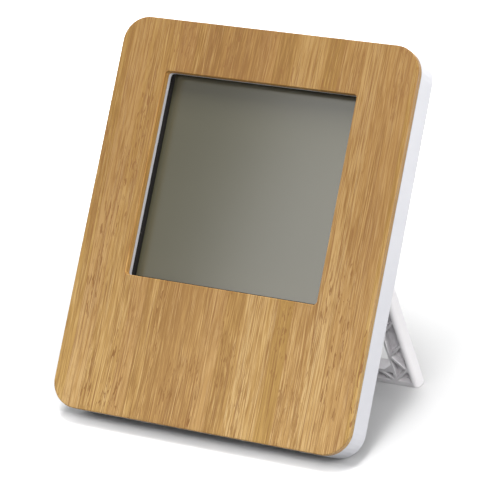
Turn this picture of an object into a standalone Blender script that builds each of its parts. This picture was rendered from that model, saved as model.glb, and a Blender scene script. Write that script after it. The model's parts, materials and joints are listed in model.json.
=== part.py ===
"""Desk weather station with a bamboo front, a slim white case and a fold-out stand.

Every piece is built upright, in the axes of its case, and the whole then leans back on the opened stand.
In those axes X runs to the right, Y from the front to the back and Z up along the front panel.
The world origin is the middle of the footprint, on the table.
"""

from math import acos, asin, atan2, ceil, cos, hypot, pi, radians, sin, tan

import bmesh
import bpy
from mathutils import Matrix, Vector

# Clearances
SEAT_GAP = 0.0003            # between two pieces that rest on each other
FIT_GAP = 0.00015            # around a pin, a screw or a shaft, on the radius
MOVE_GAP = 0.0005            # around a piece that swings or slides

# Bamboo front panel
PANEL_WIDTH = 0.1000
PANEL_HEIGHT = 0.1260
PANEL_THICKNESS = 0.0030
CORNER_RADIUS = 0.0084
PANEL_EDGE_ROUND = 0.0004
MARGIN_LEFT = 0.0169         # from the panel's edge to its window
MARGIN_RIGHT = 0.0182
MARGIN_TOP = 0.0166
MARGIN_BOTTOM = 0.0440
WINDOW_CORNER = 0.0012
WINDOW_CHAMFER = 0.0002
TAPE_THICKNESS = 0.0004
TAPE_STRIP_HEIGHT = 0.0085

# White case
CASE_WALL = 0.0020
BACK_FILLET = 0.0042
FRAME_THICKNESS = 0.0018     # plate behind the bamboo
FRAME_SETBACK = 0.00015      # from the board's window edge to the plate's
POST_RADIUS = 0.0021
BOSS_WALL = 0.0015
BOSS_FLOOR = 0.0018          # under a screw's head

# Display
DISPLAY_SETBACK = 0.0022     # from the plate to the glass
DISPLAY_BORDER = 0.0032      # glass beyond the window, at the sides and below
DISPLAY_TOP_BORDER = 0.0018
CONTACT_LEDGE = 0.0026       # front glass beyond the rear glass
GLASS_THICKNESS = 0.0011
POLARISER_THICKNESS = 0.0002
POCKET_WALL = 0.0010
GASKET_OVERHANG = 0.0006     # how far the gasket shows inside the window
SEAT_WIDTH = 0.0015          # ring that the glass rests on
DISPLAY_CLEARANCE = 0.0004   # behind the display

# Circuit board
BOARD_THICKNESS = 0.0010
BOARD_EDGE_GAP = 0.0010
ZEBRA_WIDTH = 0.0018

# Screws, all of one kind
SCREW_LENGTH = 0.0056
SCREW_RADIUS = 0.0008
SCREW_HEAD_RADIUS = 0.0017
SCREW_HEAD_HEIGHT = 0.0012
TOP_SCREW_INSET = 0.0078     # from the case's sides and top
FOOT_SCREW_INSET = 0.0120    # from the case's sides

# Fold-out stand
LEAN_ANGLE = radians(27.3)
HINGE_HEIGHT = 0.0785        # above the case's underside
STAND_THICKNESS = 0.0050
STAND_TOP_INSET = 0.0155     # from the case's side to the stand at its hinge
STAND_FOOT_INSET = 0.0050    # from the case's side to the stand at its foot
FOOT_INSET = 0.0045          # from the case's underside to the folded foot
LEG_WIDTH = 0.0076
LEG_ROUND = 0.0016           # front outer edge of each leg
FOOT_BAR_HEIGHT = 0.0060
CROSSBAR_HEIGHT = 0.0050     # below the hinge
HEEL_HEIGHT = 0.0036         # above the hinge
FOOT_ROUND = 0.0011
STAND_SKIN = 0.0012
RIB_DEPTH = 0.0025           # of the pockets that hold the ribs
STAND_WALL = 0.0010
RIB_THICKNESS = 0.0008
RIB_PITCH = 0.0100
RIB_SLOPE = 1.15             # rise of a leg's rib over its run
BAR_RIB_PITCH = 0.0090
BAR_RIB_SLOPE = 0.72
GUSSET = 0.0026
PIN_RADIUS = 0.0015
PIN_LENGTH = 0.0020
CHANNEL_WALL = 0.0014        # between the stand's recess and the inside

# Batteries, two AAA cells
CELL_RADIUS = 0.00525
CELL_LENGTH = 0.0433
NUB_RADIUS = 0.0019
NUB_LENGTH = 0.0012
CELL_GAP = 0.0004
BAY_WALL = 0.0012
CONTACT_THICKNESS = 0.0004
CONTACT_WIDTH = 0.0080
SPRING_LENGTH = 0.0036
SPRING_RADIUS = 0.0030
SPRING_WIRE = 0.0003         # radius
SPRING_TURNS = 2.5
WIRE_RADIUS = 0.0006
DOOR_THICKNESS = 0.0018
DOOR_LAP = 0.0016            # door beyond the bay's mouth
DOOR_TRAVEL = 0.0060
TONGUE_LENGTH = 0.0050
TONGUE_WIDTH = 0.0011
TONGUE_THICKNESS = 0.0007
RAIL_THICKNESS = 0.0007
GRIP_DEPTH = 0.0005

# Buttons and sensors
BUTTON_NAMES = ("mode", "set", "up", "down", "unit")
BUTTON_PITCH = 0.0150
BUTTON_DROP = 0.0200         # below the case's top
BUTTON_RADIUS = 0.0029
BUTTON_FLANGE = 0.0010       # flange beyond the shaft
FLANGE_THICKNESS = 0.0007
BUTTON_PROUD = 0.0006
BUTTON_TRAVEL = 0.0005
SWITCH_SIZE = 0.0060
SWITCH_HEIGHT = 0.0014
PLUNGER_RADIUS = 0.0015
BUZZER_RADIUS = 0.0042
BUZZER_HEIGHT = 0.0025
BUZZER_OFFSET = 0.0260       # to the left of the middle
SENSOR_OFFSET = 0.0260       # to the right of the middle
VENT_COUNT = 5
VENT_PITCH = 0.0030
VENT_WIDTH = 0.0012
VENT_HEIGHT = 0.0070
SOUND_HOLE_RADIUS = 0.0007
CHIP_RADIUS = 0.0050
CHIP_HEIGHT = 0.0013
CRYSTAL_RADIUS = 0.0010
CRYSTAL_LENGTH = 0.0060
CAPACITOR_RADIUS = 0.0015
CAPACITOR_LENGTH = 0.0050

# Colour, roughness and metallic value of each finish
FINISHES = {
    "bamboo": ((0.56, 0.36, 0.16), 0.45, 0.0),
    "white_plastic": ((0.80, 0.80, 0.83), 0.40, 0.0),
    "tape": ((0.85, 0.83, 0.75), 0.70, 0.0),
    "display": ((0.22, 0.22, 0.18), 0.25, 0.0),
    "glass": ((0.75, 0.80, 0.78), 0.05, 0.0),
    "reflector": ((0.55, 0.56, 0.50), 0.35, 0.0),
    "black_rubber": ((0.03, 0.03, 0.03), 0.80, 0.0),
    "board": ((0.04, 0.18, 0.08), 0.45, 0.0),
    "black_foam": ((0.012, 0.011, 0.010), 0.90, 0.0),
    "black_plastic": ((0.02, 0.02, 0.02), 0.35, 0.0),
    "metal": ((0.70, 0.70, 0.68), 0.30, 1.0),
    "cell_wrap": ((0.05, 0.10, 0.22), 0.35, 0.2),
    "red_wire": ((0.60, 0.03, 0.02), 0.45, 0.0),
    "black_wire": ((0.02, 0.02, 0.02), 0.45, 0.0),
}


def grown(box, amount):
    """Grow a (left, right, bottom, top) rectangle on all four sides."""
    left, right, bottom, top = box
    return (left - amount, right + amount, bottom - amount, top + amount)


# Rectangles across the front, as left, right, bottom, top
HALF_WIDTH = PANEL_WIDTH / 2
CASE_BOX = (-HALF_WIDTH, HALF_WIDTH, 0.0, PANEL_HEIGHT)
WINDOW = (MARGIN_LEFT - HALF_WIDTH, HALF_WIDTH - MARGIN_RIGHT, MARGIN_BOTTOM, PANEL_HEIGHT - MARGIN_TOP)
REAR_GLASS = (WINDOW[0] - DISPLAY_BORDER, WINDOW[1] + DISPLAY_BORDER,
              WINDOW[2] - DISPLAY_BORDER, WINDOW[3] + DISPLAY_TOP_BORDER)
FRONT_GLASS = (*REAR_GLASS[:3], REAR_GLASS[3] + CONTACT_LEDGE)
POCKET = grown(FRONT_GLASS, SEAT_GAP)
POCKET_OUTER = grown(POCKET, POCKET_WALL)

# Levels from the front to the back, as Y values
CASE_FRONT = PANEL_THICKNESS + SEAT_GAP
TAPE_FLOOR = CASE_FRONT + TAPE_THICKNESS + SEAT_GAP
PLATE_BACK = CASE_FRONT + FRAME_THICKNESS
SEAT_LEVEL = PLATE_BACK + DISPLAY_SETBACK
FRONT_GLASS_LEVEL = SEAT_LEVEL + SEAT_GAP
REAR_GLASS_LEVEL = FRONT_GLASS_LEVEL + GLASS_THICKNESS + SEAT_GAP
REFLECTOR_LEVEL = REAR_GLASS_LEVEL + GLASS_THICKNESS + SEAT_GAP
DISPLAY_BACK = REFLECTOR_LEVEL + POLARISER_THICKNESS
BOARD_LEVEL = DISPLAY_BACK + DISPLAY_CLEARANCE
BOARD_BACK = BOARD_LEVEL + BOARD_THICKNESS
DEPTH_FOR_STAND = DISPLAY_BACK + DISPLAY_CLEARANCE + CHANNEL_WALL + SEAT_GAP + STAND_THICKNESS + SEAT_GAP
DEPTH_FOR_CELLS = CASE_FRONT + BAY_WALL + 2 * CELL_RADIUS + 2 * CELL_GAP + SEAT_GAP + DOOR_THICKNESS
DEPTH_FOR_BUTTONS = (BOARD_BACK + SEAT_GAP + SWITCH_HEIGHT + SEAT_GAP + BUTTON_TRAVEL + SEAT_GAP
                     + FLANGE_THICKNESS + SEAT_GAP + CASE_WALL)
CASE_DEPTH = max(DEPTH_FOR_STAND, DEPTH_FOR_CELLS, DEPTH_FOR_BUTTONS)
BACK_INSIDE = CASE_DEPTH - CASE_WALL
CHANNEL_FLOOR = CASE_DEPTH - STAND_THICKNESS - 2 * SEAT_GAP
DOOR_LEVEL = CASE_DEPTH - DOOR_THICKNESS

# Battery bay, tucked under the display pocket
CELL_PITCH = 2 * CELL_RADIUS + CELL_GAP
CONTACT_STACK = 2 * SEAT_GAP + CONTACT_THICKNESS
BAY_LENGTH = CELL_LENGTH + NUB_LENGTH + 2 * CONTACT_STACK + SPRING_LENGTH + SEAT_GAP
BAY_TOP = POCKET_OUTER[2] - 2 * MOVE_GAP - BAY_WALL
BAY = (-BAY_LENGTH / 2, BAY_LENGTH / 2, BAY_TOP - 2 * CELL_PITCH - CELL_GAP, BAY_TOP)
CELL_AXIS_LEVEL = CASE_FRONT + BAY_WALL + CELL_GAP + CELL_RADIUS
UPPER_CELL_HEIGHT = BAY_TOP - CELL_GAP - CELL_RADIUS
LOWER_CELL_HEIGHT = UPPER_CELL_HEIGHT - CELL_PITCH
DOOR = grown(BAY, DOOR_LAP)
DOOR_RECESS = (DOOR[0] - SEAT_GAP, DOOR[1] + SEAT_GAP, DOOR[2] - SEAT_GAP, DOOR[3] + DOOR_TRAVEL + MOVE_GAP)

# Stand, in its own axes: origin on the hinge, Z towards the heel, Y towards its outer face
STAND_LENGTH = HINGE_HEIGHT - FOOT_INSET
HALF_THICK = STAND_THICKNESS / 2
LEG_OUTER_WALL = max(STAND_WALL, 1.1 * LEG_ROUND)
POCKET_FOOT = 1.7 * STAND_WALL - STAND_LENGTH   # lower end of the ribbed pockets
STAND_TOP_HALF = HALF_WIDTH - STAND_TOP_INSET
STAND_FOOT_HALF = HALF_WIDTH - STAND_FOOT_INSET
HINGE_LEVEL = CASE_DEPTH - SEAT_GAP - HALF_THICK


def floor_height(level, height):
    """World height of a point of the case's cross-section, up to one common constant."""
    return height * cos(LEAN_ANGLE) - level * sin(LEAN_ANGLE)


# The case rests on its rounded lower back edge, and the stand's front corner meets the same floor
REST_LEVEL = CASE_DEPTH - BACK_FILLET + BACK_FILLET * sin(LEAN_ANGLE)
REST_HEIGHT = BACK_FILLET - BACK_FILLET * cos(LEAN_ANGLE)
HINGE_ABOVE_FLOOR = floor_height(HINGE_LEVEL, HINGE_HEIGHT) - floor_height(REST_LEVEL, REST_HEIGHT)
STAND_SLOPE = (asin(HINGE_ABOVE_FLOOR / hypot(STAND_LENGTH, HALF_THICK)) - atan2(HALF_THICK, STAND_LENGTH))
OPEN_ANGLE = pi / 2 + LEAN_ANGLE - STAND_SLOPE
FOOT_TIP = STAND_LENGTH + STAND_THICKNESS / tan(STAND_SLOPE)
HEEL_REACH = hypot(HALF_THICK, HEEL_HEIGHT)
CROSSBAR_REACH = hypot(HALF_THICK, CROSSBAR_HEIGHT)

# Recess that the folded stand lies in, in the case's axes
CHANNEL_TOP = HINGE_HEIGHT + HEEL_REACH + MOVE_GAP
CHANNEL_BOTTOM = HINGE_HEIGHT - FOOT_TIP - MOVE_GAP

# Board and what is on it
BOARD_BOTTOM = CHANNEL_TOP + CHANNEL_WALL + BOARD_EDGE_GAP
BOSS_RADIUS = SCREW_HEAD_RADIUS + SEAT_GAP + BOSS_WALL
TOP_SCREW = (HALF_WIDTH - TOP_SCREW_INSET, PANEL_HEIGHT - TOP_SCREW_INSET)
FOOT_SCREW_SPREAD = HALF_WIDTH - FOOT_SCREW_INSET
FOOT_SCREW_HEIGHT = CHANNEL_BOTTOM + MOVE_GAP + FOOT_BAR_HEIGHT / 2
BOARD_SHOULDER = TOP_SCREW[1] - BOSS_RADIUS - BOARD_EDGE_GAP
BOARD_TOP = POCKET_OUTER[3] + BOARD_EDGE_GAP
BUTTON_HEIGHT = PANEL_HEIGHT - BUTTON_DROP
SENSOR_HEIGHT = (BOARD_BOTTOM + BUTTON_HEIGHT - BUTTON_RADIUS - BUTTON_FLANGE) / 2
CASE_INSIDE = HALF_WIDTH - CASE_WALL
TOP_BOSS_LEVEL = REFLECTOR_LEVEL + SEAT_GAP
FOOT_SEAT_LEVEL = CHANNEL_FLOOR - SCREW_HEAD_HEIGHT - SEAT_GAP
FOOT_BOSS_LEVEL = FOOT_SEAT_LEVEL - BOSS_FLOOR
TOP_SEAT_LEVEL = TOP_BOSS_LEVEL + BOSS_FLOOR


# Shapes: each is a list of corners and a list of faces


def circle(radius, steps, centre=(0.0, 0.0)):
    """Corners of a circle."""
    turns = [2 * pi * step / steps for step in range(steps)]
    return [(centre[0] + radius * cos(turn), centre[1] + radius * sin(turn)) for turn in turns]


def rounded_box(box, radius, steps=5):
    """Outline of a rectangle with rounded corners."""
    left, right, bottom, top = box
    corners = ((right - radius, top - radius, 0), (left + radius, top - radius, 1),
               (left + radius, bottom + radius, 2), (right - radius, bottom + radius, 3))
    outline = []
    for x, z, quarter in corners:
        for step in range(steps + 1):
            turn = pi / 2 * (quarter + step / steps)
            outline.append((x + radius * cos(turn), z + radius * sin(turn)))
    return outline


def square_box(box):
    """Outline of a plain rectangle."""
    left, right, bottom, top = box
    return [(right, top), (left, top), (left, bottom), (right, bottom)]


def slot(centre_x, centre_z, width, height, steps=4):
    """Outline of an upright slot with round ends."""
    half = width / 2
    box = (centre_x - half, centre_x + half, centre_z - height / 2, centre_z + height / 2)
    return rounded_box(box, half * 0.999, steps)


def rounded_corner(before, corner, after, radius, steps=3):
    """Points of an arc that rounds one corner of a profile or a route."""
    corner = Vector(corner)
    towards_before = (Vector(before) - corner).normalized()
    towards_after = (Vector(after) - corner).normalized()
    half_angle = acos(towards_before.dot(towards_after)) / 2
    middle = (towards_before + towards_after).normalized()
    centre = corner + middle * radius / sin(half_angle)
    start = corner + towards_before * radius / tan(half_angle) - centre
    end = corner + towards_after * radius / tan(half_angle) - centre
    rays = [start.lerp(end, step / steps).normalized() for step in range(steps + 1)]
    return [tuple(centre + ray * radius) for ray in rays]


def loft(sections):
    """Skin a row of (level, outline) sections along Y and close both ends."""
    count = len(sections[0][1])
    corners = [(x, level, z) for level, outline in sections for x, z in outline]
    faces = [tuple(range(count)), tuple(range(len(corners) - count, len(corners)))]
    for row in range(len(sections) - 1):
        for step in range(count):
            here, there = row * count + step, row * count + (step + 1) % count
            faces.append((here, there, there + count, here + count))
    return corners, faces


def prism(outline, front, back):
    """Straight block along Y with one outline."""
    return loft([(front, outline), (back, outline)])


def side_block(profile, left, right):
    """Straight block along X whose profile is given as (Y, Z) points."""
    corners, faces = loft([(left, profile), (right, profile)])
    return [(x, y, z) for y, x, z in corners], faces


def turned(profile, steps):
    """Turn a profile of (radius, level) points around the Y axis; ends of radius 0 become poles."""
    corners, rings, faces = [], [], []
    for radius, level in profile:
        ring = [(0.0, 0.0)] if radius == 0 else circle(radius, steps)
        rings.append(list(range(len(corners), len(corners) + len(ring))))
        corners += [(x, level, z) for x, z in ring]
    for lower, upper in zip(rings, rings[1:]):
        for step in range(steps):
            face = [lower[step % len(lower)], lower[(step + 1) % len(lower)],
                    upper[(step + 1) % len(upper)], upper[step % len(upper)]]
            faces.append(tuple(dict.fromkeys(face)))
    return corners, faces


def rod(radius, front, back, centre=(0.0, 0.0), steps=20):
    """Round bar along Y."""
    return prism(circle(radius, steps, centre), front, back)


def cross_rod(radius, left, right, level, height, steps=20):
    """Round bar along X."""
    return side_block(circle(radius, steps, (level, height)), left, right)


def moved(shape, x=0.0, y=0.0, z=0.0):
    """Shift a shape."""
    corners, faces = shape
    return [(cx + x, cy + y, cz + z) for cx, cy, cz in corners], faces


def mirrored(shape):
    """The same shape on the other side of the middle plane."""
    corners, faces = shape
    return [(-x, y, z) for x, y, z in corners], [face[::-1] for face in faces]


def along_x(shape):
    """Lay a shape that was turned around Y along X instead."""
    corners, faces = shape
    return [(y, -x, z) for x, y, z in corners], faces


# Objects


def finish(name):
    """Material of one finish."""
    made = bpy.data.materials.get(name)
    if made is None:
        colour, roughness, metallic = FINISHES[name]
        made = bpy.data.materials.new(name)
        made.use_nodes = True
        shader = made.node_tree.nodes["Principled BSDF"]
        shader.inputs["Base Color"].default_value = (*colour, 1.0)
        shader.inputs["Roughness"].default_value = roughness
        shader.inputs["Metallic"].default_value = metallic
        made.diffuse_color = (*colour, 1.0)
    return made


def solid(name, *shapes):
    """Object made of one or more closed shapes that don't touch."""
    work = bmesh.new()
    for corners, faces in shapes:
        points = [work.verts.new(corner) for corner in corners]
        for face in faces:
            work.faces.new([points[index] for index in face])
    bmesh.ops.recalc_face_normals(work, faces=work.faces)
    mesh = bpy.data.meshes.new(name)
    work.to_mesh(mesh)
    work.free()
    made = bpy.data.objects.new(name, mesh)
    bpy.context.scene.collection.objects.link(made)
    return made


def combine(body, operation, *shapes):
    """Cut shapes out of a body, join them to it, or keep what is common; a ready object is used up."""
    tool = shapes[0] if isinstance(shapes[0], bpy.types.Object) else solid("tool", *shapes)
    step = body.modifiers.new(operation, "BOOLEAN")
    step.operation = operation
    step.object = tool
    evaluated = body.evaluated_get(bpy.context.evaluated_depsgraph_get())
    result = bpy.data.meshes.new_from_object(evaluated)
    body.modifiers.clear()
    before = body.data
    body.data = result
    result.name = body.name
    bpy.data.meshes.remove(before)
    bpy.data.objects.remove(tool)
    return body


def cut(body, *shapes):
    """Cut closed shapes, which don't touch each other, out of a body."""
    return combine(body, "DIFFERENCE", *shapes)


def join(body, *shapes):
    """Join closed shapes, which don't touch each other, to a body that they overlap."""
    return combine(body, "UNION", *shapes)


def dress(made, look, parent, place=(0.0, 0.0, 0.0)):
    """Give an object its material, smooth shading with sharp edges, its parent and its place."""
    made.data.materials.clear()
    made.data.materials.append(finish(look))
    made.data.shade_smooth()
    made.data.set_sharp_from_angle(angle=radians(50))
    made.modifiers.new("flat_faces_stay_flat", "WEIGHTED_NORMAL").keep_sharp = True
    made.parent = parent
    made.location = place
    return made


def add_empty(name, parent=None, place=(0.0, 0.0, 0.0), turn=0.0):
    """Empty that carries pieces, turned about the X axis."""
    made = bpy.data.objects.new(name, None)
    bpy.context.scene.collection.objects.link(made)
    made.empty_display_size = 0.01
    made.parent = parent
    made.location = place
    made.rotation_euler = (turn, 0.0, 0.0)
    return made


# Front panel and its tapes


def make_bamboo_panel(parent):
    """Board with a lightly rounded rim and a chamfered window."""
    sections = []
    for step in range(3):
        turn = pi / 2 * step / 2
        level = PANEL_EDGE_ROUND * (1 - cos(turn))
        inset = PANEL_EDGE_ROUND * (1 - sin(turn))
        sections.append((level, rounded_box(grown(CASE_BOX, -inset), CORNER_RADIUS - inset, 8)))
    sections.append((PANEL_THICKNESS, sections[-1][1]))
    panel = solid("bamboo_panel", loft(sections))
    wide = rounded_box(grown(WINDOW, WINDOW_CHAMFER), WINDOW_CORNER + WINDOW_CHAMFER)
    narrow = rounded_box(WINDOW, WINDOW_CORNER)
    cut(panel, loft([(-0.001, wide), (0.0, wide), (WINDOW_CHAMFER, narrow), (2 * PANEL_THICKNESS, narrow)]))
    dress(panel, "bamboo", parent)


def tape_ring_boxes():
    """Outer and inner rectangle of the tape around the window."""
    return grown(WINDOW, DISPLAY_BORDER), grown(WINDOW, DISPLAY_BORDER / 4)


def tape_strip_box():
    """Rectangle of the tape below the battery bay."""
    bottom = CASE_WALL + POCKET_WALL + SEAT_GAP
    side = FOOT_SCREW_SPREAD
    top = min(bottom + TAPE_STRIP_HEIGHT, BAY[2] - BAY_WALL - 3 * MOVE_GAP)
    return (-side, side, bottom, top)


def make_tapes(parent):
    """Two pieces of tape that hold the board, each in its own shallow bed of the plate."""
    outer, inner = tape_ring_boxes()
    upper = solid("panel_tape_upper", prism(square_box(outer), CASE_FRONT, CASE_FRONT + TAPE_THICKNESS))
    cut(upper, prism(square_box(inner), 0.0, 2 * CASE_FRONT))
    lower = solid("panel_tape_lower",
                  prism(square_box(tape_strip_box()), CASE_FRONT, CASE_FRONT + TAPE_THICKNESS))
    for tape in (upper, lower):
        dress(tape, "tape", parent)


# Plate behind the board


def board_post_places():
    """Screw places of the circuit board, between the display pocket and the case's side walls."""
    places = []
    for side, pocket_edge in ((-1, -POCKET_OUTER[0]), (1, POCKET_OUTER[1])):
        x = side * (pocket_edge + CASE_INSIDE) / 2
        for height in (BOARD_BOTTOM + 2 * POST_RADIUS, BOARD_SHOULDER - 2 * POST_RADIUS):
            places.append((x, height))
    return places


def case_screw_places():
    """Top and foot screw places with the level of each screw's seat."""
    top_x, top_z = TOP_SCREW
    return ([(side * top_x, top_z, TOP_SEAT_LEVEL) for side in (-1, 1)]
            + [(side * FOOT_SCREW_SPREAD, FOOT_SCREW_HEIGHT, FOOT_SEAT_LEVEL) for side in (-1, 1)])


def make_front_frame(parent):
    """Plate with the window, the pocket that holds the display and the posts for all screws."""
    frame_gap = CASE_WALL + SEAT_GAP
    outline = rounded_box(grown(CASE_BOX, -frame_gap), CORNER_RADIUS - frame_gap)
    frame = solid("front_frame", prism(outline, CASE_FRONT, PLATE_BACK))
    inside = PLATE_BACK - FRAME_THICKNESS / 2
    pocket_back = REFLECTOR_LEVEL - SEAT_GAP
    join(frame, prism(square_box(POCKET_OUTER), inside, pocket_back))
    posts = [rod(POST_RADIUS, inside, BOARD_LEVEL - SEAT_GAP, place) for place in board_post_places()]
    for x, z, seat in case_screw_places():
        boss_front = seat - BOSS_FLOOR - SEAT_GAP
        posts.append(rod(BOSS_RADIUS, inside, boss_front, (x, z)))
    join(frame, *posts)
    combine(frame, "INTERSECT", prism(outline, 0.0, 2 * BOARD_LEVEL))
    cut(frame, prism(square_box(POCKET), SEAT_LEVEL, 2 * BOARD_LEVEL))
    cut(frame, prism(square_box(grown(POCKET, -SEAT_WIDTH)), PLATE_BACK, 2 * BOARD_LEVEL))
    cut(frame, prism(rounded_box(grown(WINDOW, FRAME_SETBACK), WINDOW_CORNER), 0.0, 2 * BOARD_LEVEL))
    cut(frame, prism(square_box(grown(BAY, BAY_WALL + MOVE_GAP)), 0.0, PLATE_BACK + FRAME_THICKNESS / 2))
    outer, inner = tape_ring_boxes()
    ring_bed = solid("tool", prism(square_box(grown(outer, SEAT_GAP)), 0.0, TAPE_FLOOR))
    cut(ring_bed, prism(square_box(grown(inner, -SEAT_GAP)), -0.001, 2 * TAPE_FLOOR))
    cut(frame, ring_bed)
    cut(frame, prism(square_box(grown(tape_strip_box(), SEAT_GAP)), 0.0, TAPE_FLOOR))
    pilots = []
    tip_room = SCREW_LENGTH + SEAT_GAP
    for x, z in board_post_places():
        seat = BOARD_BACK + SEAT_GAP
        pilots.append(rod(SCREW_RADIUS + FIT_GAP, seat - tip_room, 2 * BOARD_LEVEL, (x, z)))
    for x, z, seat in case_screw_places():
        pilots.append(rod(SCREW_RADIUS + FIT_GAP, seat - tip_room, 2 * BOARD_LEVEL, (x, z)))
    cut(frame, *pilots)
    dress(frame, "white_plastic", parent)


# Display


def make_display(parent):
    """Front polariser, two glasses, reflector, foam gasket, and the connector on the contact ledge."""
    view = grown(WINDOW, DISPLAY_TOP_BORDER / 2)
    layers = (
        ("lcd_front_polariser", view, SEAT_LEVEL - POLARISER_THICKNESS, POLARISER_THICKNESS, "display"),
        ("lcd_front_glass", FRONT_GLASS, FRONT_GLASS_LEVEL, GLASS_THICKNESS, "glass"),
        ("lcd_rear_glass", REAR_GLASS, REAR_GLASS_LEVEL, GLASS_THICKNESS, "glass"),
        ("lcd_reflector", grown(REAR_GLASS, -DISPLAY_TOP_BORDER / 2), REFLECTOR_LEVEL, POLARISER_THICKNESS,
         "reflector"),
    )
    for name, box, level, thickness, look in layers:
        dress(solid(name, prism(square_box(box), level, level + thickness)), look, parent)
    outer = grown(POCKET, -SEAT_WIDTH - SEAT_GAP)
    inner = grown(WINDOW, -GASKET_OVERHANG)
    gasket_back = SEAT_LEVEL - POLARISER_THICKNESS - SEAT_GAP
    gasket = solid("display_gasket", prism(square_box(outer), PLATE_BACK + SEAT_GAP, gasket_back))
    cut(gasket, prism(rounded_box(inner, WINDOW_CORNER), 0.0, 2 * BOARD_LEVEL))
    dress(gasket, "black_foam", parent)
    ledge_middle = REAR_GLASS[3] + SEAT_GAP + (CONTACT_LEDGE - SEAT_GAP) / 2
    half = ZEBRA_WIDTH / 2
    box = (FRONT_GLASS[0] + ZEBRA_WIDTH, FRONT_GLASS[1] - ZEBRA_WIDTH,
           ledge_middle - half, ledge_middle + half)
    strip = solid("zebra_strip", prism(square_box(box), REAR_GLASS_LEVEL, BOARD_LEVEL - SEAT_GAP))
    dress(strip, "black_rubber", parent)


# Case


def stand_half_width(height):
    """Half the stand's width at a height above its hinge; it widens evenly towards the foot."""
    return STAND_TOP_HALF - height * (STAND_FOOT_HALF - STAND_TOP_HALF) / STAND_LENGTH


def stand_outline(top, bottom, shift):
    """Tapered outline between two heights in the stand's axes, moved outwards by a shift."""
    upper, lower = stand_half_width(top) + shift, stand_half_width(bottom) + shift
    return [(upper, top), (-upper, top), (-lower, bottom), (lower, bottom)]


def stand_opening(top, bottom, shift):
    """Outline with cut corners between the legs and the bars, moved inwards from the legs by a shift."""
    upper = stand_half_width(top) - LEG_WIDTH - shift
    lower = stand_half_width(bottom) - LEG_WIDTH - shift
    right = [(lower - GUSSET, bottom), (lower, bottom + GUSSET),
             (upper, top - GUSSET), (upper - GUSSET, top)]
    return right + [(-x, z) for x, z in reversed(right)]


def raised(outline, height):
    """Outline shifted up."""
    return [(x, z + height) for x, z in outline]


def ring_around_island(grow):
    """Recess of the folded stand as a closed loop around the island, grown by some wall."""
    top, bottom = CHANNEL_TOP - HINGE_HEIGHT + grow, CHANNEL_BOTTOM - HINGE_HEIGHT - grow
    outer = raised(stand_outline(top, bottom, MOVE_GAP + grow), HINGE_HEIGHT)
    island_top = -CROSSBAR_REACH - MOVE_GAP - grow
    island_bottom = FOOT_BAR_HEIGHT - STAND_LENGTH + MOVE_GAP + grow
    inner = raised(stand_opening(island_top, island_bottom, MOVE_GAP + grow), HINGE_HEIGHT)
    ring = solid("tool", prism(outer, CHANNEL_FLOOR - grow, 2 * CASE_DEPTH))
    return cut(ring, prism(inner, 0.0, 3 * CASE_DEPTH))


def case_outer():
    """Outer shape: a deep tray whose back edge is rounded."""
    sections = [(CASE_FRONT, rounded_box(CASE_BOX, CORNER_RADIUS, 8))]
    for step in range(7):
        turn = pi / 2 * step / 6
        inset = BACK_FILLET * (1 - cos(turn))
        level = CASE_DEPTH - BACK_FILLET + BACK_FILLET * sin(turn)
        sections.append((level, rounded_box(grown(CASE_BOX, -inset), CORNER_RADIUS - inset, 8)))
    return loft(sections)


def case_inner():
    """Room inside the case, open to the front."""
    radius = BACK_FILLET - CASE_WALL
    sections = [(0.0, rounded_box(grown(CASE_BOX, -CASE_WALL), CORNER_RADIUS - CASE_WALL))]
    for step in range(4):
        turn = pi / 2 * step / 3
        inset = CASE_WALL + radius * (1 - cos(turn))
        level = BACK_INSIDE - radius + radius * sin(turn)
        sections.append((level, rounded_box(grown(CASE_BOX, -inset), CORNER_RADIUS - inset)))
    return loft(sections)


def hinge_block(side):
    """Thick place in the recess's side wall around one pivot socket."""
    near = stand_half_width(0.0) - PIN_LENGTH
    far = stand_half_width(0.0) + MOVE_GAP + PIN_LENGTH + CASE_WALL
    half = PIN_RADIUS + CASE_WALL
    left, right = sorted((side * near, side * far))
    box = (left, right, HINGE_HEIGHT - half, HINGE_HEIGHT + half)
    return prism(square_box(box), HINGE_LEVEL - half, 2 * CASE_DEPTH)


def tongue_bottoms():
    """Height of the lower end of each door tongue on one side."""
    return (DOOR[2] + DOOR_LAP, DOOR[2] + DOOR_LAP + TONGUE_LENGTH + DOOR_TRAVEL + 4 * MOVE_GAP)


def tongue_boxes(side, stretch_down, stretch_up, extra):
    """Boxes over the door's tongues on one side, stretched to make their grooves."""
    start = DOOR[1] - 0.5 * TONGUE_WIDTH
    end = DOOR[1] + TONGUE_WIDTH + extra
    left, right = (start, end) if side > 0 else (-end, -start)
    return [(left, right, bottom - stretch_down, bottom + TONGUE_LENGTH + stretch_up)
            for bottom in tongue_bottoms()]


def door_cutters():
    """Recess of the door, its grooves under the rails and the notches that let its tongues out."""
    recess = prism(square_box(DOOR_RECESS), DOOR_LEVEL - SEAT_GAP, 2 * CASE_DEPTH)
    grooves, notches = [], []
    for side in (-1, 1):
        for box in tongue_boxes(side, SEAT_GAP, DOOR_TRAVEL + MOVE_GAP, SEAT_GAP):
            grooves.append(prism(square_box(box), DOOR_LEVEL - SEAT_GAP, CASE_DEPTH - RAIL_THICKNESS))
        for box in tongue_boxes(side, -DOOR_TRAVEL + MOVE_GAP, DOOR_TRAVEL + MOVE_GAP, SEAT_GAP):
            notches.append(prism(square_box(box), DOOR_LEVEL, 2 * CASE_DEPTH))
    return recess, grooves, notches


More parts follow.
